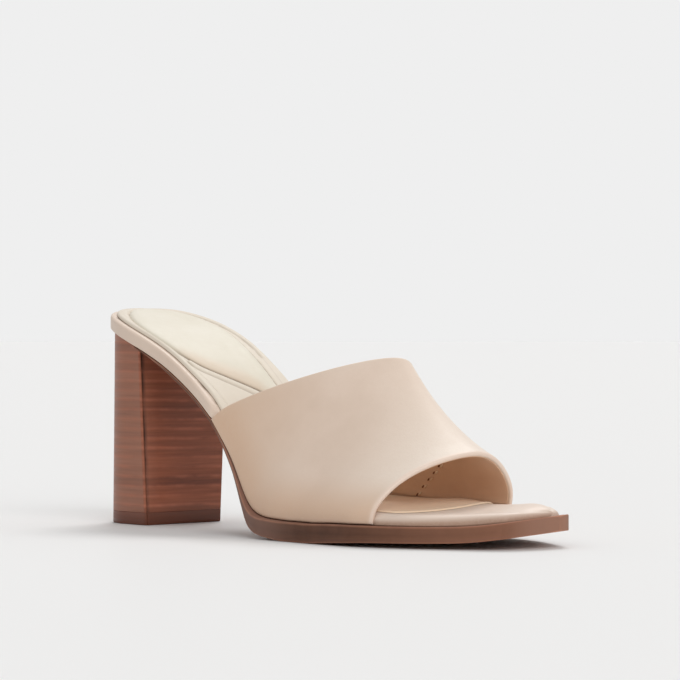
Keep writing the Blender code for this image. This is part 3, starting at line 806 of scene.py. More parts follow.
def board_ring(x):
    """A section of the wrapped board, whose toe pad lies on the sole."""
    shift = draw_in(x)
    low = board_bottom(shift) - (GAP - LIFT_SEAM) * pad_share(shift)
    lateral, medial, wide, deep, high = board_surface(x)
    sides = []
    for side, edge in (("lateral", lateral), ("medial", medial)):
        points = [(edge - FLOOR_BEVEL, low), (edge, low + FLOOR_BEVEL)]
        points += [(edge, low + FLOOR_BEVEL + (high - deep - low - FLOOR_BEVEL) * share)
                   for share in BOARD_LEVELS]
        sides.append(points + corner(edge, wide[side], high, deep, range(0, 91, 10)))
    across = medial + lateral - sum(wide.values())
    between = [(shift, wide["lateral"] - lateral + across * share, high + crown(x, share))
               for share in np.linspace(0, 1, CROWN_POINTS + 2)[1:-1]]
    return closed_ring(shift, *sides, between)


def sock_border(count):
    """The edge of the sock, from the front of one side round the back to the other's."""
    places = np.linspace(RIM + SOCK_BACK, SOCK_FRONT, count)
    edge = {side: np.array([(x, SIDE_SIGN[side] * sock_edge(x, side)) for x in places])
            for side in SIDE_SIGN}
    return np.vstack([edge["lateral"][::-1], edge["medial"]])


def build_footbed():
    rings = [board_ring(x) for x in places_along(SEAT_ROUND * TIP, LENGTH)]
    mesh = add_piece("footbed_wrap", skin_rings(rings), rim_finish(), "footbed").data
    plan = np.array([v.co.xy for v in mesh.vertices])
    border = sock_border(GROOVE_POINTS) - (ORIGIN, 0)
    # painted shade in the groove where the rim meets the sock
    groove = np.exp(-(distance_to(plan, border, False) / GROOVE_WIDTH) ** 2)
    add_values(mesh, "seam", groove * (1 - ramp_up(plan[:, 0], *GROOVE_END)))
    # painted shade on the toe pad's side, darker down to the sole
    above = [v.co.z - board_bottom(v.co.x + ORIGIN) for v in mesh.vertices]
    foot = np.maximum(1 - np.array(above) / PAD_SHADE_HEIGHT, 0.0) ** PAD_SHADE_POWER
    add_values(mesh, "foot", foot * ramp_up(plan[:, 0], *PAD_SHADE_START))


def sock_edge(x, side):
    """The sock's edge, inside the board's rim and a little further in under the upper."""
    under = smooth_step((x - cover_ends(side)[0]) / SOCK_DRAW_LENGTH + 1)
    inset = RIM + SOCK_DRAW * under
    ledge = LEDGE * ledge_share(x / LENGTH)
    return (straight_outline(x, side) - ledge - inset) * seat_rounding(x, RIM)


def rounded_off(points, closed, passes=3):
    """A polyline with its corners cut, by Chaikin's rule."""
    line = np.array(points, dtype=float)
    for _ in range(passes):
        following = np.roll(line, -1, axis=0) if closed else line[1:]
        start = line if closed else line[:-1]
        cut = np.stack([start * 0.75 + following * 0.25, start * 0.25 + following * 0.75], axis=1)
        cut = cut.reshape(-1, 2)
        line = cut if closed else np.vstack([line[:1], cut, line[-1:]])
    return line


def distance_to(points, line, closed):
    """Distance of each point from a polyline."""
    start = line if closed else line[:-1]
    end = np.roll(line, -1, axis=0) if closed else line[1:]
    best = np.full(len(points), np.inf)
    for a, b in zip(start, end):
        way = b - a
        share = np.clip((points - a) @ way / max(way @ way, 1e-18), 0, 1)
        best = np.minimum(best, np.linalg.norm(points - a - share[:, None] * way, axis=1))
    return best


def inside(points, polygon):
    """True for points inside a closed polygon, by counting crossings."""
    odd = np.zeros(len(points), dtype=bool)
    for (xa, ya), (xb, yb) in zip(polygon, np.roll(polygon, -1, axis=0)):
        crosses = (ya > points[:, 1]) != (yb > points[:, 1])
        slope = (points[:, 1] - ya) / (yb - ya if yb != ya else 1e-18)
        odd ^= crosses & (points[:, 0] < xa + slope * (xb - xa))
    return odd


def ramp_up(values, start, end):
    """0 before start, 1 after end, smooth between them."""
    share = np.clip((values - start) / (end - start), 0, 1)
    return share * share * (3 - 2 * share)


def sock_profile(points):
    """The sock's height over the board and its share left at the edge, by place, and four numbers for
    its material: dark seams, partly painted shade, the painted shade in the groove at its foot, cushion,
    the cushion's painted shade."""
    along, across = points.T
    cushion = rounded_off(np.array(CUSHION_LINE) * MM, True)
    from_border = distance_to(points, sock_border(SOCK_BORDER_POINTS), False)
    from_cushion = distance_to(points, cushion, True)
    on_cushion = inside(points, cushion)
    height = np.full(len(points), SOCK_PANEL)
    flat = 1 - ramp_up(along, SOCK_COVERED, SOCK_COVERED + SOCK_FLATTENING)
    seam = np.zeros(len(points))
    for name, corners in SOCK_LINES.items():
        line = rounded_off(np.array(corners) * MM, False)
        from_line = distance_to(points, line, False)
        lateral = np.interp(along, line[:, 0], line[:, 1])
        if name == "piping":
            within = ~on_cushion & (across > lateral) & (along > line[0, 0])
            share = from_line / (from_line + from_cushion + TINY)
        else:
            side = SIDE_SIGN[name.split("_")[0]]
            within = ~on_cushion & (side * across > side * lateral)
            share = from_border / (from_border + from_line + TINY)
        roll = SOCK_BEAD * flat * np.sqrt(np.clip(np.sin(math.pi * share), 0, 1))
        height = np.where(within, np.maximum(height, SOCK_PANEL + roll), height)
        line_seam = np.exp(-(from_line / SEAM_WIDTH) ** 2) * ~on_cushion * flat
        height -= SEAM_DEPTH * BEAD_SEAM_DEPTH * line_seam
        seam = np.maximum(seam, line_seam * (PIPING_SEAM if name == "piping" else BEAD_SEAM))
    share = np.clip(from_cushion / CUSHION_ROLL, 0, 1)
    swell = np.sqrt(1 - (1 - share) ** 2)
    middle = np.sin(np.clip(from_cushion / CUSHION_MIDDLE, 0, 1) * math.pi / 2)
    raised = SOCK_PANEL + CUSHION_RISE * (CUSHION_SWELL * swell + (1 - CUSHION_SWELL) * middle)
    height = np.where(on_cushion, raised, height)
    line_seam = np.exp(-(from_cushion / SEAM_WIDTH) ** 2)
    height -= SEAM_DEPTH * line_seam
    sewn = CUSHION_SEAM + (1 - CUSHION_SEAM) * ramp_up(along, *SEWN_FROM)
    seam = np.maximum(seam, line_seam * np.where(across < SEWN_SIDE, sewn, FAR_SEAM))
    height += ARCH_RISE * ramp_up(across, *ARCH_ACROSS) * (1 - ramp_up(along, *ARCH_END))
    round_width = SOCK_EDGE_ROUND * (SOCK_FLAT_ROUND + (1 - SOCK_FLAT_ROUND) * flat)
    edge_round = np.clip(from_border / round_width, 0, 1)
    # painted shade in the groove where the sock's edge meets the rim
    foot = np.exp(-(from_border / SEAM_WIDTH) ** 2) * flat
    shade = (1 - ramp_up(from_cushion, 0.0, CUSHION_SHADE)) * on_cushion
    shade *= ramp_up(along, *SEWN_FROM) * (1 - ramp_up(across, 0.0, SEWN_SIDE))
    return height, np.sqrt(1 - (1 - edge_round) ** 2), seam, foot, on_cushion, shade


def sock_rows():
    """Places of the sock's sections, close together where its lines turn."""
    turned = SOCK_TURN - RIM
    rows = [RIM + turned * (TIP + (1 - TIP) * (i / SOCK_TURN_ROWS) ** 2) for i in range(SOCK_TURN_ROWS)]
    straight = SOCK_FRONT - SOCK_BOW_LENGTH
    ends = (SOCK_TURN, SOCK_DETAIL, SOCK_COVERED, straight)
    for start, end, step in zip(ends, ends[1:], SOCK_STEPS):
        rows += list(np.arange(start, end, step))
    return rows + list(np.linspace(straight, SOCK_FRONT, SOCK_FRONT_ROWS))


def build_sock():
    even = [i / (SOCK_COLUMNS - 1) for i in range(SOCK_COLUMNS)]
    shares = [SOCK_CROWDING * (0.5 - 0.5 * math.cos(math.pi * share)) + (1 - SOCK_CROWDING) * share
              for share in even]
    grid = []
    for x in sock_rows():
        lateral, medial = -sock_edge(x, "lateral"), sock_edge(x, "medial")
        bowed = smooth_step(1 - (SOCK_FRONT - x) / SOCK_BOW_LENGTH)
        for share in shares:
            y = lateral + (medial - lateral) * share
            side = "lateral" if y < 0 else "medial"
            here = x - SOCK_BOW[side] * bowed * (y / sock_edge(x, side)) ** 2
            grid.append((here, y, x))
    plan = np.array(grid)
    height, rounding, seam, foot, cushion, shade = sock_profile(plan[:, [2, 1]])
    front = np.array([pad_share(x) for x in plan[:, 2]])
    height = height + (SOCK_FRONT_THICKNESS - SOCK_PANEL) * front
    floor = [board_height(x, y) + GAP / 2 for x, y, _ in plan]
    top = [(x, y, low + max(h * (SOCK_EDGE_HEIGHT + (1 - SOCK_EDGE_HEIGHT) * r), SOCK_THINNEST))
           for (x, y, _), low, h, r in zip(plan, floor, height, rounding)]
    bottom = [(x, y, low) for (x, y, _), low in zip(plan, floor)]
    shape = closed_sheet(top, bottom, len(plan) // SOCK_COLUMNS, SOCK_COLUMNS)
    piece = add_piece("sock_cover", shape, sock_finish(), "insole_sock", 50)
    for name, above, below in (("seam", seam, foot), ("shade", shade, shade),
                               ("cushion", cushion, cushion)):
        add_values(piece.data, name, np.concatenate([above, below]).astype(float))


def closed_sheet(top, bottom, rows, columns):
    """Vertices and faces of a sheet with two skins of rows by columns points."""
    under = rows * columns
    faces = []
    for i in range(rows - 1):
        for j in range(columns - 1):
            a = i * columns + j
            quad = (a, a + 1, a + columns + 1, a + columns)
            faces.append(quad)
            faces.append(tuple(under + corner for corner in quad[::-1]))
    rim = list(range(columns))
    rim += [i * columns + columns - 1 for i in range(1, rows)]
    rim += [(rows - 1) * columns + j for j in range(columns - 2, -1, -1)]
    rim += [i * columns for i in range(rows - 2, 0, -1)]
    for i, corner in enumerate(rim):
        following = rim[(i + 1) % len(rim)]
        faces.append((corner, under + corner, under + following, following))
    return list(top) + list(bottom), faces


def build_upper():
    """The outer leather with turned edges, as one band of even thickness."""
    outer = upper_skin()
    direction = inward(outer)
    rows, columns = outer.shape[:2]
    vertices, faces = closed_sheet(outer.reshape(-1, 3), (outer + direction * WALL).reshape(-1, 3),
                                   rows, columns)
    mesh = bpy.data.meshes.new("upper_leather")
    mesh.from_pydata([place(*point) for point in vertices], [], faces)
    bm = bmesh.new()
    bm.from_mesh(mesh)
    ends = [edge for edge in bm.edges if is_rim_edge(edge, rows, columns)]
    bmesh.ops.bevel(bm, geom=ends, offset=EDGE_TURN, offset_type="OFFSET", segments=4, profile=0.5,
                    affect="EDGES", clamp_overlap=True)
    bm.to_mesh(mesh)
    bm.free()
    finish_piece("upper_leather", mesh, [upper_finish()], "upper", 60)
    # paler band round the toe opening, partly a painted highlight
    add_values(mesh, "opening", nearness(mesh, outer[-1], OPENING_BAND))
    # painted shade above the sole, darker and warmer there
    add_values(mesh, "foot", nearness(mesh, np.vstack([outer[:, 0], outer[:, -1]]), FOOT_SHADE_BAND))
    return outer, direction


def is_rim_edge(edge, rows, columns):
    """True on the four long edges round the topline, the toe opening and the feet."""
    a, b = (vertex.index for vertex in edge.verts)
    half = rows * columns
    if (a < half) != (b < half):
        return False
    rows_here = {a % half // columns, b % half // columns}
    columns_here = {a % half % columns, b % half % columns}
    return rows_here in ({0}, {rows - 1}) or columns_here in ({0}, {columns - 1})


def nearness(mesh, points, reach):
    """1 at some points, fading to 0 at reach from them, for each vertex of a mesh."""
    search = KDTree(len(points))
    for i, point in enumerate(points):
        search.insert(Vector(place(*point)), i)
    search.balance()
    return [max(0.0, 1 - search.find(v.co)[2] / reach) for v in mesh.vertices]


def build_lining(outer, direction):
    """The thin lining inside the upper, which stops short of its turned edges."""
    inner = trimmed(outer + direction * (WALL + LINING_LIFT))
    turned = trimmed(direction)
    kept = [j for j in range(inner.shape[1]) if above_board(inner[:, j])]
    inner, turned = inner[:, kept], turned[:, kept]
    face = inner + turned * LINING_THICKNESS
    shape = closed_sheet(face.reshape(-1, 3), inner.reshape(-1, 3), *inner.shape[:2])
    piece = add_piece("upper_lining", shape, lining_finish(), "upper", 60)
    return piece, face, turned


def trimmed(grid):
    """The same grid with its first and last rows moved in by the lining's margin."""
    cut = grid.copy()
    for end, beside in ((0, 1), (-1, -2)):
        way = grid[beside] - grid[end]
        length = np.linalg.norm(way, axis=1)[:, None]
        cut[end] = grid[end] + way * np.minimum(LINING_MARGIN / length, LINING_MOST)
    return cut


def above_board(line):
    return all(z > board_top(x) + LINING_LIFT for x, _, z in line)


def heel_outline(share, crease):
    """Half of the heel's plan at a share of its height, from the breast's middle to the back."""
    depth, width = heel_section(share)
    half = width / 2
    back = BREAST - depth
    points = [(BREAST, half * i / BREAST_POINTS) for i in range(BREAST_POINTS)]
    points.append((BREAST, half - CREASE_PLACE - CREASE_WIDTH))
    points.append((BREAST - crease, half - CREASE_PLACE - CREASE_WIDTH / 2))
    points.append((BREAST, half - CREASE_PLACE))
    points += corner(BREAST, CORNER_ROUND, half, CORNER_ROUND, (0, 30, 60, 90))
    points += [(back + from_back, half)
               for from_back in np.linspace(depth - HEEL_STRAIGHT_END, HEEL_ROUND, SIDE_POINTS)]
    for angle in quarter(HEEL_TURNS) + [math.radians(90)]:
        from_back = HEEL_ROUND * (1 - math.sin(angle))
        points.append((back + from_back, heel_half_width(from_back, width)))
    return points


def heel_loop(share, z, shrink=0.0):
    """A closed section of the heel at one height, or right under the sole if that is None."""
    loop = [(x, -y) for x, y in heel_outline(share, CREASE_DEPTH)]
    loop += heel_outline(share, 0.0)[::-1][1:-1]
    middle = BREAST - heel_section(share)[0] / 2
    points = []
    for x, y in loop:
        keep = 1 - shrink / math.hypot(x - middle, y)
        x = middle + (x - middle) * keep
        points.append((x, y * keep, sole_top(x) if z is None else z))
    return points


def build_heel():
    lift_share = TOP_LIFT / sole_top(BREAST)
    low = TOP_LIFT + 2 * LIFT_SEAM
    loops = [heel_loop(lift_share, TOP_LIFT + LIFT_SEAM, LIFT_SEAM), heel_loop(lift_share, low)]
    for step in range(1, HEEL_LAYERS):
        up = step / HEEL_LAYERS
        loops.append([(x, y, low + (top - low) * up)
                      for x, y, top in heel_loop(lift_share + (1 - lift_share) * up, None)])
    loops.append(heel_loop(1.0, None))
    block = add_piece("heel_stack", skin_rings(loops), stack_finish(), "heel_block", 50)
    mark_crease(block.data)
    loops = [heel_loop(0.0, 0.0, FLOOR_BEVEL), heel_loop(0.0, FLOOR_BEVEL)]
    loops += [heel_loop(lift_share * share, TOP_LIFT * share) for share in LIFT_LEVELS]
    loops += [heel_loop(lift_share, TOP_LIFT - LIFT_SEAM), heel_loop(lift_share, TOP_LIFT, LIFT_SEAM)]
    add_piece("heel_lift_finished", skin_rings(loops), lift_finish(), "heel_top_lift", 50)


def mark_crease(mesh):
    """Attributes crease, 1 in the groove by the lateral front corner, and breast, 1 in front."""
    creases, fronts = [], []
    for vertex in mesh.vertices:
        behind = BREAST - vertex.co.x - ORIGIN
        half = heel_section(vertex.co.z / sole_top(BREAST))[1] / 2
        near = abs(half + vertex.co.y - CREASE_PLACE - CREASE_WIDTH / 2) / CREASE_WIDTH
        creases.append(math.exp(-near ** 2) if behind < 2 * CREASE_DEPTH else 0.0)
        fronts.append(float(behind < 3 * CREASE_DEPTH))
    add_values(mesh, "crease", creases)
    add_values(mesh, "breast", fronts)


def capsule(start, end, radius):
    """Vertices and faces of a small rounded rod, for a stitch."""
    start, end = Vector(start), Vector(end)
    way = (end - start).normalized()
    side = way.orthogonal().normalized()
    other = way.cross(side)
    vertices = []
    wide, high = CAP
    for centre, wide, along in ((start, wide, -high), (start, 1, 0), (end, 1, 0), (end, wide, high)):
        for k in range(STITCH_SIDES):
            angle = 2 * math.pi * k / STITCH_SIDES
            offset = side * math.cos(angle) + other * math.sin(angle)
            vertices.append(centre + way * along * radius + offset * radius * wide)
    return vertices, skin_rings([[0] * STITCH_SIDES] * 4)[1]


def seam_on_lining(lining, world):
    """The seam seen in the photo as a row over columns of the lining, with both its ends."""
    tree = BVHTree.FromPolygons([v.co for v in lining.data.vertices],
                                [tuple(p.vertices) for p in lining.data.polygons])
    right, up, back = camera_axes()
    found = []
    for across, down in SEAM_PIXELS:
        way = (right * (across - FRAME_PIXELS / 2) - up * (down - FRAME_PIXELS / 2)
               - back * FOCAL_PIXELS).normalized()
        hit = tree.ray_cast(Vector(CAMERA_PLACE), way)[0]
        if hit is not None:
            gap = np.linalg.norm(world - np.array(hit), axis=2)
            found.append(np.unravel_index(np.argmin(gap), gap.shape))
    rows, columns = np.array(found, dtype=float).T
    slope, start = np.polyfit(columns, rows, 1)
    return slope, start, columns.max() + SEAM_BEFORE, columns.min() - SEAM_AFTER


def build_stitches(lining, face, turned):
    """The row of needle holes and stitches inside the upper, seen through the toe opening."""
    world = np.array([[place(*point) for point in row] for row in face])
    slope, start, column_now, last = seam_on_lining(lining, world)
    vertices, faces, dark = [], [], []
    while column_now > last:
        here = sample(world, start + slope * column_now, column_now)
        ahead = sample(world, start + slope * (column_now - 1), column_now - 1)
        if here is None or ahead is None:
            column_now -= 0.5
            continue
        length = np.linalg.norm(ahead - here)
        way = (ahead - here) / length
        normal = sample(turned, start + slope * column_now, column_now)
        lift = normal / np.linalg.norm(normal)
        aside = np.cross(way, lift)
        hole = here + lift * STITCH_RADIUS * HOLE_LIFT
        begin = (here + way * HOLE_LENGTH * THREAD_AHEAD + aside * HOLE_LENGTH * THREAD_ASIDE
                 + lift * STITCH_RADIUS * THREAD_LIFT)
        for a, b, radius, kind in (
                (hole - way * HOLE_LENGTH / 2, hole + way * HOLE_LENGTH / 2, HOLE_RADIUS, 1),
                (begin, begin + way * STITCH_LENGTH, STITCH_RADIUS, 0)):
            more, more_faces = capsule(a, b, radius)
            faces += [tuple(len(vertices) + index for index in face) for face in more_faces]
            vertices += more
            dark += [kind] * len(more_faces)
        column_now -= STITCH_STEP / length
    mesh = bpy.data.meshes.new("lining_stitches")
    mesh.from_pydata(vertices, [], faces)
    mesh.polygons.foreach_set("material_index", dark)
    finish_piece("lining_stitches", mesh, [thread_finish(), hole_finish()], None, 60)


def sample(grid, row, column):
    """A point of a grid between its rows and columns, or None outside it."""
    rows, columns = grid.shape[:2]
    if not (0 <= row < rows - 1 and 0 <= column < columns - 1):
        return None
    i, j = int(row), int(column)
    s, t = row - i, column - j
    near = grid[i, j] * (1 - t) + grid[i, j + 1] * t
    far = grid[i + 1, j] * (1 - t) + grid[i + 1, j + 1] * t
    return near * (1 - s) + far * s


def tone(colour):
    """A colour given as 0 to 255 on a screen, as Blender's linear values."""
    shares = [value / 255 for value in colour]
    return (*(share / 12.92 if share <= 0.04045 else ((share + 0.055) / 1.055) ** 2.4
              for share in shares), 1.0)


class Finish:
    """A node material whose shader gets its colour, roughness and bump from textures."""

    def __init__(self, name, **fixed):
        self.material = bpy.data.materials.new(name)
        self.material.use_nodes = True
        self.nodes = self.material.node_tree.nodes
        self.links = self.material.node_tree.links
        self.shader = self.nodes["Principled BSDF"]
        for socket, value in fixed.items():
            self.shader.inputs[socket.replace("_", " ")].default_value = value
        self.where = self.add("ShaderNodeTexCoord").outputs["Object"]

    def put(self, socket, value):
        """Links a node's input to another's output, or gives it a value."""
        if isinstance(value, bpy.types.NodeSocket):
            self.links.new(value, socket)
        else:
            socket.default_value = value

    def add(self, kind, inputs=(), **settings):
        made = self.nodes.new(kind)
        for key, value in settings.items():
            setattr(made, key, value)
        for socket, value in dict(inputs).items():
            self.put(made.inputs[socket], value)
        return made

    def math(self, operation, *values):
        return self.add("ShaderNodeMath", dict(enumerate(values)), operation=operation).outputs[0]

    def times(self, first, second):
        return self.math("MULTIPLY", first, second)

    def noise(self, scale, detail=3.0, roughness=0.55, stretch=None):
        where = self.where
        if stretch:
            where = self.add("ShaderNodeMapping", {"Vector": where, "Scale": stretch}).outputs[0]
        return self.add("ShaderNodeTexNoise", {"Vector": where, "Scale": scale, "Detail": detail,
                                               "Roughness": roughness}).outputs["Fac"]

    def ramp(self, factor, *stops):
        """Colours, 0 to 255 on a screen, at places from 0 to 1."""
        made = self.add("ShaderNodeValToRGB", {"Fac": factor})
        elements = made.color_ramp.elements
        while len(elements) < len(stops):
            elements.new(0.5)
        for element, (position, colour) in zip(elements, stops):
            element.position = position
            element.color = tone(colour)
        return made.outputs["Color"]

    def mix(self, factor, first, second, blend="MIX"):
        """A colour with another, 0 to 255 on a screen, laid over it."""
        made = self.add("ShaderNodeMix", data_type="RGBA", blend_type=blend)
        colours = [socket for socket in made.inputs if socket.type == "RGBA"]
        self.put(made.inputs[0], factor)
        self.put(colours[0], first)
        self.put(colours[1], tone(second))
        return [socket for socket in made.outputs if socket.type == "RGBA"][0]

    def spread(self, value, low, high, start=0.25, end=0.75, kind="LINEAR"):
        """low where a value is start, high where it is end."""
        return self.add("ShaderNodeMapRange", {"Value": value, "From Min": start, "From Max": end,
                                               "To Min": low, "To Max": high},
                        interpolation_type=kind).outputs["Result"]

    def attribute(self, name):
        return self.add("ShaderNodeAttribute", attribute_name=name).outputs["Fac"]

    def share(self, start, end, attribute=None):
        """0 to 1 between two places along the shoe, or two values of an attribute."""
        if attribute:
            value = self.attribute(attribute)
        else:
            value = self.add("ShaderNodeSeparateXYZ", {"Vector": self.where}).outputs["X"]
        return self.spread(value, 0.0, 1.0, start, end, "SMOOTHSTEP")

    def tinted(self, colour, tints):
        """A colour with tints over it, each a colour, its share at most and where it lies."""
        for tint, most, *ranges in tints:
            share = most
            for limits in ranges:
                share = self.times(self.share(*limits), share)
            colour = self.mix(share, colour, tint)
        return colour

    def finish(self, colour, roughness, height, strength, distance):
        self.put(self.shader.inputs["Base Color"], colour)
        self.put(self.shader.inputs["Roughness"], roughness)
        bump = self.add("ShaderNodeBump", {"Height": height, "Strength": strength,
                                           "Distance": distance})
        self.put(self.shader.inputs["Normal"], bump.outputs["Normal"])
        return self.material


def leather(name, colours, grain, rough, strength, wear_highlight_share, tints=(), opening=None, **fixed):
    """Smooth leather: soft clouds of tone, fine pores and a few creases, paler at its edges, partly from
    wear and partly a painted highlight.
    """
    dark, middle, light, wear_and_highlight = colours
    finish = Finish(name, **fixed)
    colour = finish.ramp(finish.noise(28, 4.0), (0.30, dark), (0.50, middle), (0.72, light))
    colour = finish.tinted(colour, tints)
    colour = finish.mix(finish.spread(finish.noise(900, 4.0), 0.0, 0.22), colour, dark)
    # paler edges: partly wear, partly a painted highlight
    share = finish.times(finish.attribute("wear_and_highlight"), wear_highlight_share)
    share = finish.times(share, finish.spread(finish.noise(260), 0.5, 1.2, 0.3, 0.7))
    colour = finish.mix(share, colour, wear_and_highlight)
    # paler band round the toe opening: partly its own tone, partly a painted highlight along its roll
    if opening:
        band = finish.spread(finish.attribute("opening"), 0.0, 0.75, 0.05, 0.55, "SMOOTHSTEP")
        colour = finish.mix(band, colour, opening)
    pores = finish.add("ShaderNodeTexVoronoi", {"Vector": finish.where, "Scale": grain},
                       feature="F1").outputs["Distance"]
    fine = finish.noise(grain * 0.45, 5.0, 0.6)
    creases = finish.noise(110, 3.0, 0.5, (1.0, 0.35, 1.0))
    height = finish.math("MULTIPLY_ADD", pores, 0.5, finish.times(fine, 0.5))
    height = finish.math("MULTIPLY_ADD", creases, 0.6, height)
    roughness = finish.spread(finish.noise(340, 4.0), rough - 0.06, rough + 0.07)
    return finish.finish(colour, roughness, height, strength, LEATHER_RELIEF)


def upper_finish():
    return leather("bone_leather", UPPER, grain=1700, rough=0.46, strength=0.22, wear_highlight_share=0.35,
                   tints=UPPER_LIGHT_AND_SHADE, opening=OPENING_EDGE, Sheen_Weight=0.10, Specular_IOR_Level=0.30)


def lining_finish():
    return leather("tan_lining", LINING, grain=1100, rough=0.72, strength=0.30, wear_highlight_share=0.6,
                   Sheen_Weight=0.2, Specular_IOR_Level=0.25)


def sock_finish():
    return leather("cream_sock_leather", SOCK, grain=1500, rough=0.55, strength=0.20, wear_highlight_share=0.1,
                   tints=SOCK_TINTS, Sheen_Weight=0.1, Specular_IOR_Level=0.3)


def rim_finish():
    return leather("cream_rim_leather", RIM_WRAP, grain=1600, rough=0.44, strength=0.18, wear_highlight_share=0.5,
                   tints=RIM_TINTS, Sheen_Weight=0.08, Specular_IOR_Level=0.4)


def fibres_finish(name, gloss, scale, colours, low, high, strength):
    """Short fibres in two tones, rougher where they are lighter."""
    finish = Finish(name, Specular_IOR_Level=gloss)
    fibre = finish.noise(scale, 2.0)
    colour = finish.ramp(fibre, *zip((0.3, 0.7), colours))
    return finish.finish(colour, finish.spread(fibre, low, high), fibre, strength, 0.0001)


def thread_finish():
    return fibres_finish("stitch_thread", 0.2, 2600, THREAD, 0.6, 0.8, 0.4)


def hole_finish():
    return fibres_finish("needle_holes", 0.05, 2200, HOLE, 0.8, 0.95, 0.3)


def sole_finish():
    """Painted leather sole edge: brown with faint fibres along it, paler at its edges, partly where it
    is rubbed and partly a painted highlight, with painted light and shade along it.
    """
    dark, middle, light, wear_and_highlight = SOLE
    finish = Finish("painted_sole_edge", Specular_IOR_Level=0.2)
    fibres = finish.noise(60, 5.0, 0.6, (1, 1, 14))
    colour = finish.ramp(fibres, (0.30, dark), (0.52, middle), (0.75, light))
    colour = finish.mix(finish.spread(finish.noise(1300), 0.0, 0.25), colour, dark)
    colour = finish.tinted(colour, SOLE_LIGHT_AND_SHADE)
    # paler top edge: partly rubbed wear, partly a painted highlight on its bevel
    rubbed_and_highlit = finish.times(finish.attribute("wear_and_highlight"), finish.spread(finish.noise(180), 0.6, 1.0))
    colour = finish.mix(rubbed_and_highlit, colour, wear_and_highlight)
    height = finish.math("ADD", fibres, finish.times(finish.noise(1500), 0.4))
    return finish.finish(colour, finish.spread(finish.noise(300), 0.46, 0.62), height, 0.25,
                         SOLE_RELIEF)


def stack(name, colours, pitch, breast=None):
    """Stacked leather: layers of changing tone with thin glued lines and fibres along them."""
    dark, middle, light, seam = colours
    finish = Finish(name, Specular_IOR_Level=0.35)
    split = finish.add("ShaderNodeSeparateXYZ", {"Vector": finish.where})
    wobble = finish.times(finish.math("SUBTRACT", finish.noise(38), 0.5), LAYER_WOBBLE)
    tilt = finish.times(split.outputs["Y"], LAYER_TILT)
    height = finish.math("ADD", finish.math("ADD", split.outputs["Z"], wobble), tilt)
    layer = finish.math("DIVIDE", height, pitch)
    pick = finish.add("ShaderNodeTexWhiteNoise", {"W": finish.math("FLOOR", layer)},
                      noise_dimensions="1D").outputs["Value"]
    fibres = finish.noise(42, 6.0, 0.65, (1, 1, 20))
    long_fibres = finish.noise(16, 4.0, 0.6, (1, 1, 60))
    blend = finish.math("MULTIPLY_ADD", pick, 0.20, finish.times(fibres, 0.45))
    blend = finish.math("MULTIPLY_ADD", long_fibres, 0.35, blend)
    colour = finish.ramp(blend, (0.30, dark), (0.52, middle), (0.78, light))
    on_breast = finish.share(0.0, 1.0, "breast")
    # painted shade on the breast, and calmer layer tones on the sides
    if breast:
        calm = finish.math("MULTIPLY_ADD", on_breast, -SIDE_CALM, SIDE_CALM)
        colour = finish.mix(calm, colour, middle)
        colour = finish.mix(finish.times(on_breast, BREAST_SHADE_SHARE), colour, breast, "MULTIPLY")
    part = finish.math("ADD", finish.math("FRACT", layer), 0.5)
    from_line = finish.math("SUBTRACT", 0.5, finish.math("PINGPONG", part, 0.5))
    line = finish.spread(from_line, 1.0, 0.0, 0.0, LINE_REACH, "SMOOTHSTEP")
    broken = finish.times(line, finish.spread(finish.noise(70), 0.1, 0.9, 0.35, 0.65))
    facing = finish.math("MULTIPLY_ADD", on_breast, 1 - SIDE_LINES, SIDE_LINES)
    colour = finish.mix(finish.times(broken, facing), colour, seam)
    # paler corners: partly wear, partly a painted highlight
    colour = finish.mix(finish.times(finish.attribute("wear_and_highlight"), HEEL_WEAR_HIGHLIGHT), colour, light)
    creased = finish.times(finish.attribute("crease"),
                           finish.spread(finish.noise(120, 4.0), 0.15, 0.95, 0.35, 0.6))
    colour = finish.mix(creased, colour, CREASE_SHADE)
    bumps = finish.math("SUBTRACT", finish.times(fibres, 0.6), finish.times(line, 0.4))
    return finish.finish(colour, finish.spread(long_fibres, 0.34, 0.52), bumps, 0.35, STACK_RELIEF)


def stack_finish():
    return stack("stacked_leather_wrap", STACK, STACK_PITCH, BREAST_SHADE_TINT)


def lift_finish():
    return stack("top_lift_rubber", LIFT, LIFT_PITCH)


def camera_axes():
    turn, tilt = math.radians(CAMERA_AZIMUTH), math.radians(CAMERA_ELEVATION)
    back = Vector((math.sin(turn) * math.cos(tilt), -math.cos(turn) * math.cos(tilt), math.sin(tilt)))
    right = Vector((math.cos(turn), math.sin(turn), 0))
    return right, back.cross(right), back


def add_camera():
    right, up, back = camera_axes()
    camera = bpy.data.cameras.new("camera")
    camera.sensor_width = SENSOR
    camera.lens = FOCAL_PIXELS / FRAME_PIXELS * SENSOR
    camera.clip_start = CLIP_START
    camera.clip_end = CLIP_END
    holder = new_object("camera", camera)
    matrix = Matrix((right, up, back)).transposed().to_4x4()
    matrix.translation = CAMERA_PLACE
    holder.matrix_world = matrix
    bpy.context.scene.camera = holder


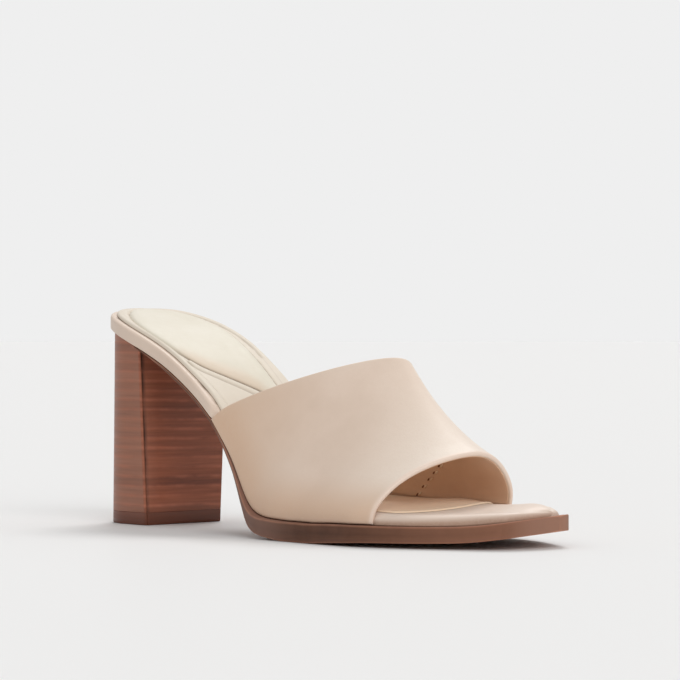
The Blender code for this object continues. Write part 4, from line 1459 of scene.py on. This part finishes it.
def add_sun(name, aside, towards, height, strength, angle, colour):
    """A soft studio light from a direction given as the camera sees the shoe."""
    right, _, back = camera_axes()
    way = (right * aside + back * towards + Vector((0, 0, height))).normalized()
    light = bpy.data.lights.new(name, "SUN")
    light.energy = strength
    light.angle = math.radians(angle)
    light.color = colour
    new_object(name, light).rotation_euler = way.to_track_quat("Z", "Y").to_euler()


def add_world():
    """A plain pale room: what lights the shoe is dimmer than the backdrop itself."""
    world = bpy.data.worlds.new("studio")
    world.use_nodes = True
    nodes, links = world.node_tree.nodes, world.node_tree.links
    room = nodes["Background"]
    room.inputs["Color"].default_value = (*ROOM_COLOUR, 1.0)
    room.inputs["Strength"].default_value = ROOM_LIGHT
    seen = nodes.new("ShaderNodeBackground")
    seen.inputs["Color"].default_value = tone(BACKDROP)
    rays = nodes.new("ShaderNodeLightPath")
    mix = nodes.new("ShaderNodeMixShader")
    links.new(rays.outputs["Is Diffuse Ray"], mix.inputs["Fac"])
    links.new(seen.outputs["Background"], mix.inputs[1])
    links.new(room.outputs["Background"], mix.inputs[2])
    links.new(mix.outputs["Shader"], nodes["World Output"].inputs["Surface"])
    bpy.context.scene.world = world


def add_floor():
    """A wide pale floor, nearly without gloss."""
    finish = Finish("pale_floor", Base_Color=(*[FLOOR_ALBEDO] * 3, 1), Roughness=FLOOR_ROUGHNESS,
                    Specular_IOR_Level=FLOOR_GLOSS)
    mesh = bpy.data.meshes.new("floor")
    bm = bmesh.new()
    bmesh.ops.create_circle(bm, cap_ends=True, segments=96, radius=FLOOR_RADIUS)
    bm.to_mesh(mesh)
    bm.free()
    mesh.materials.append(finish.material)
    floor = new_object("floor", mesh)
    floor.location = (0, 0, -FLOOR_DROP)


def main():
    bpy.context.scene.view_settings.view_transform = "Standard"
    add_camera()
    add_world()
    add_floor()
    for row in SUNS:
        add_sun(*row)
    build_outsole()
    build_footbed()
    build_sock()
    outer, direction = build_upper()
    build_stitches(*build_lining(outer, direction))
    build_heel()


main()
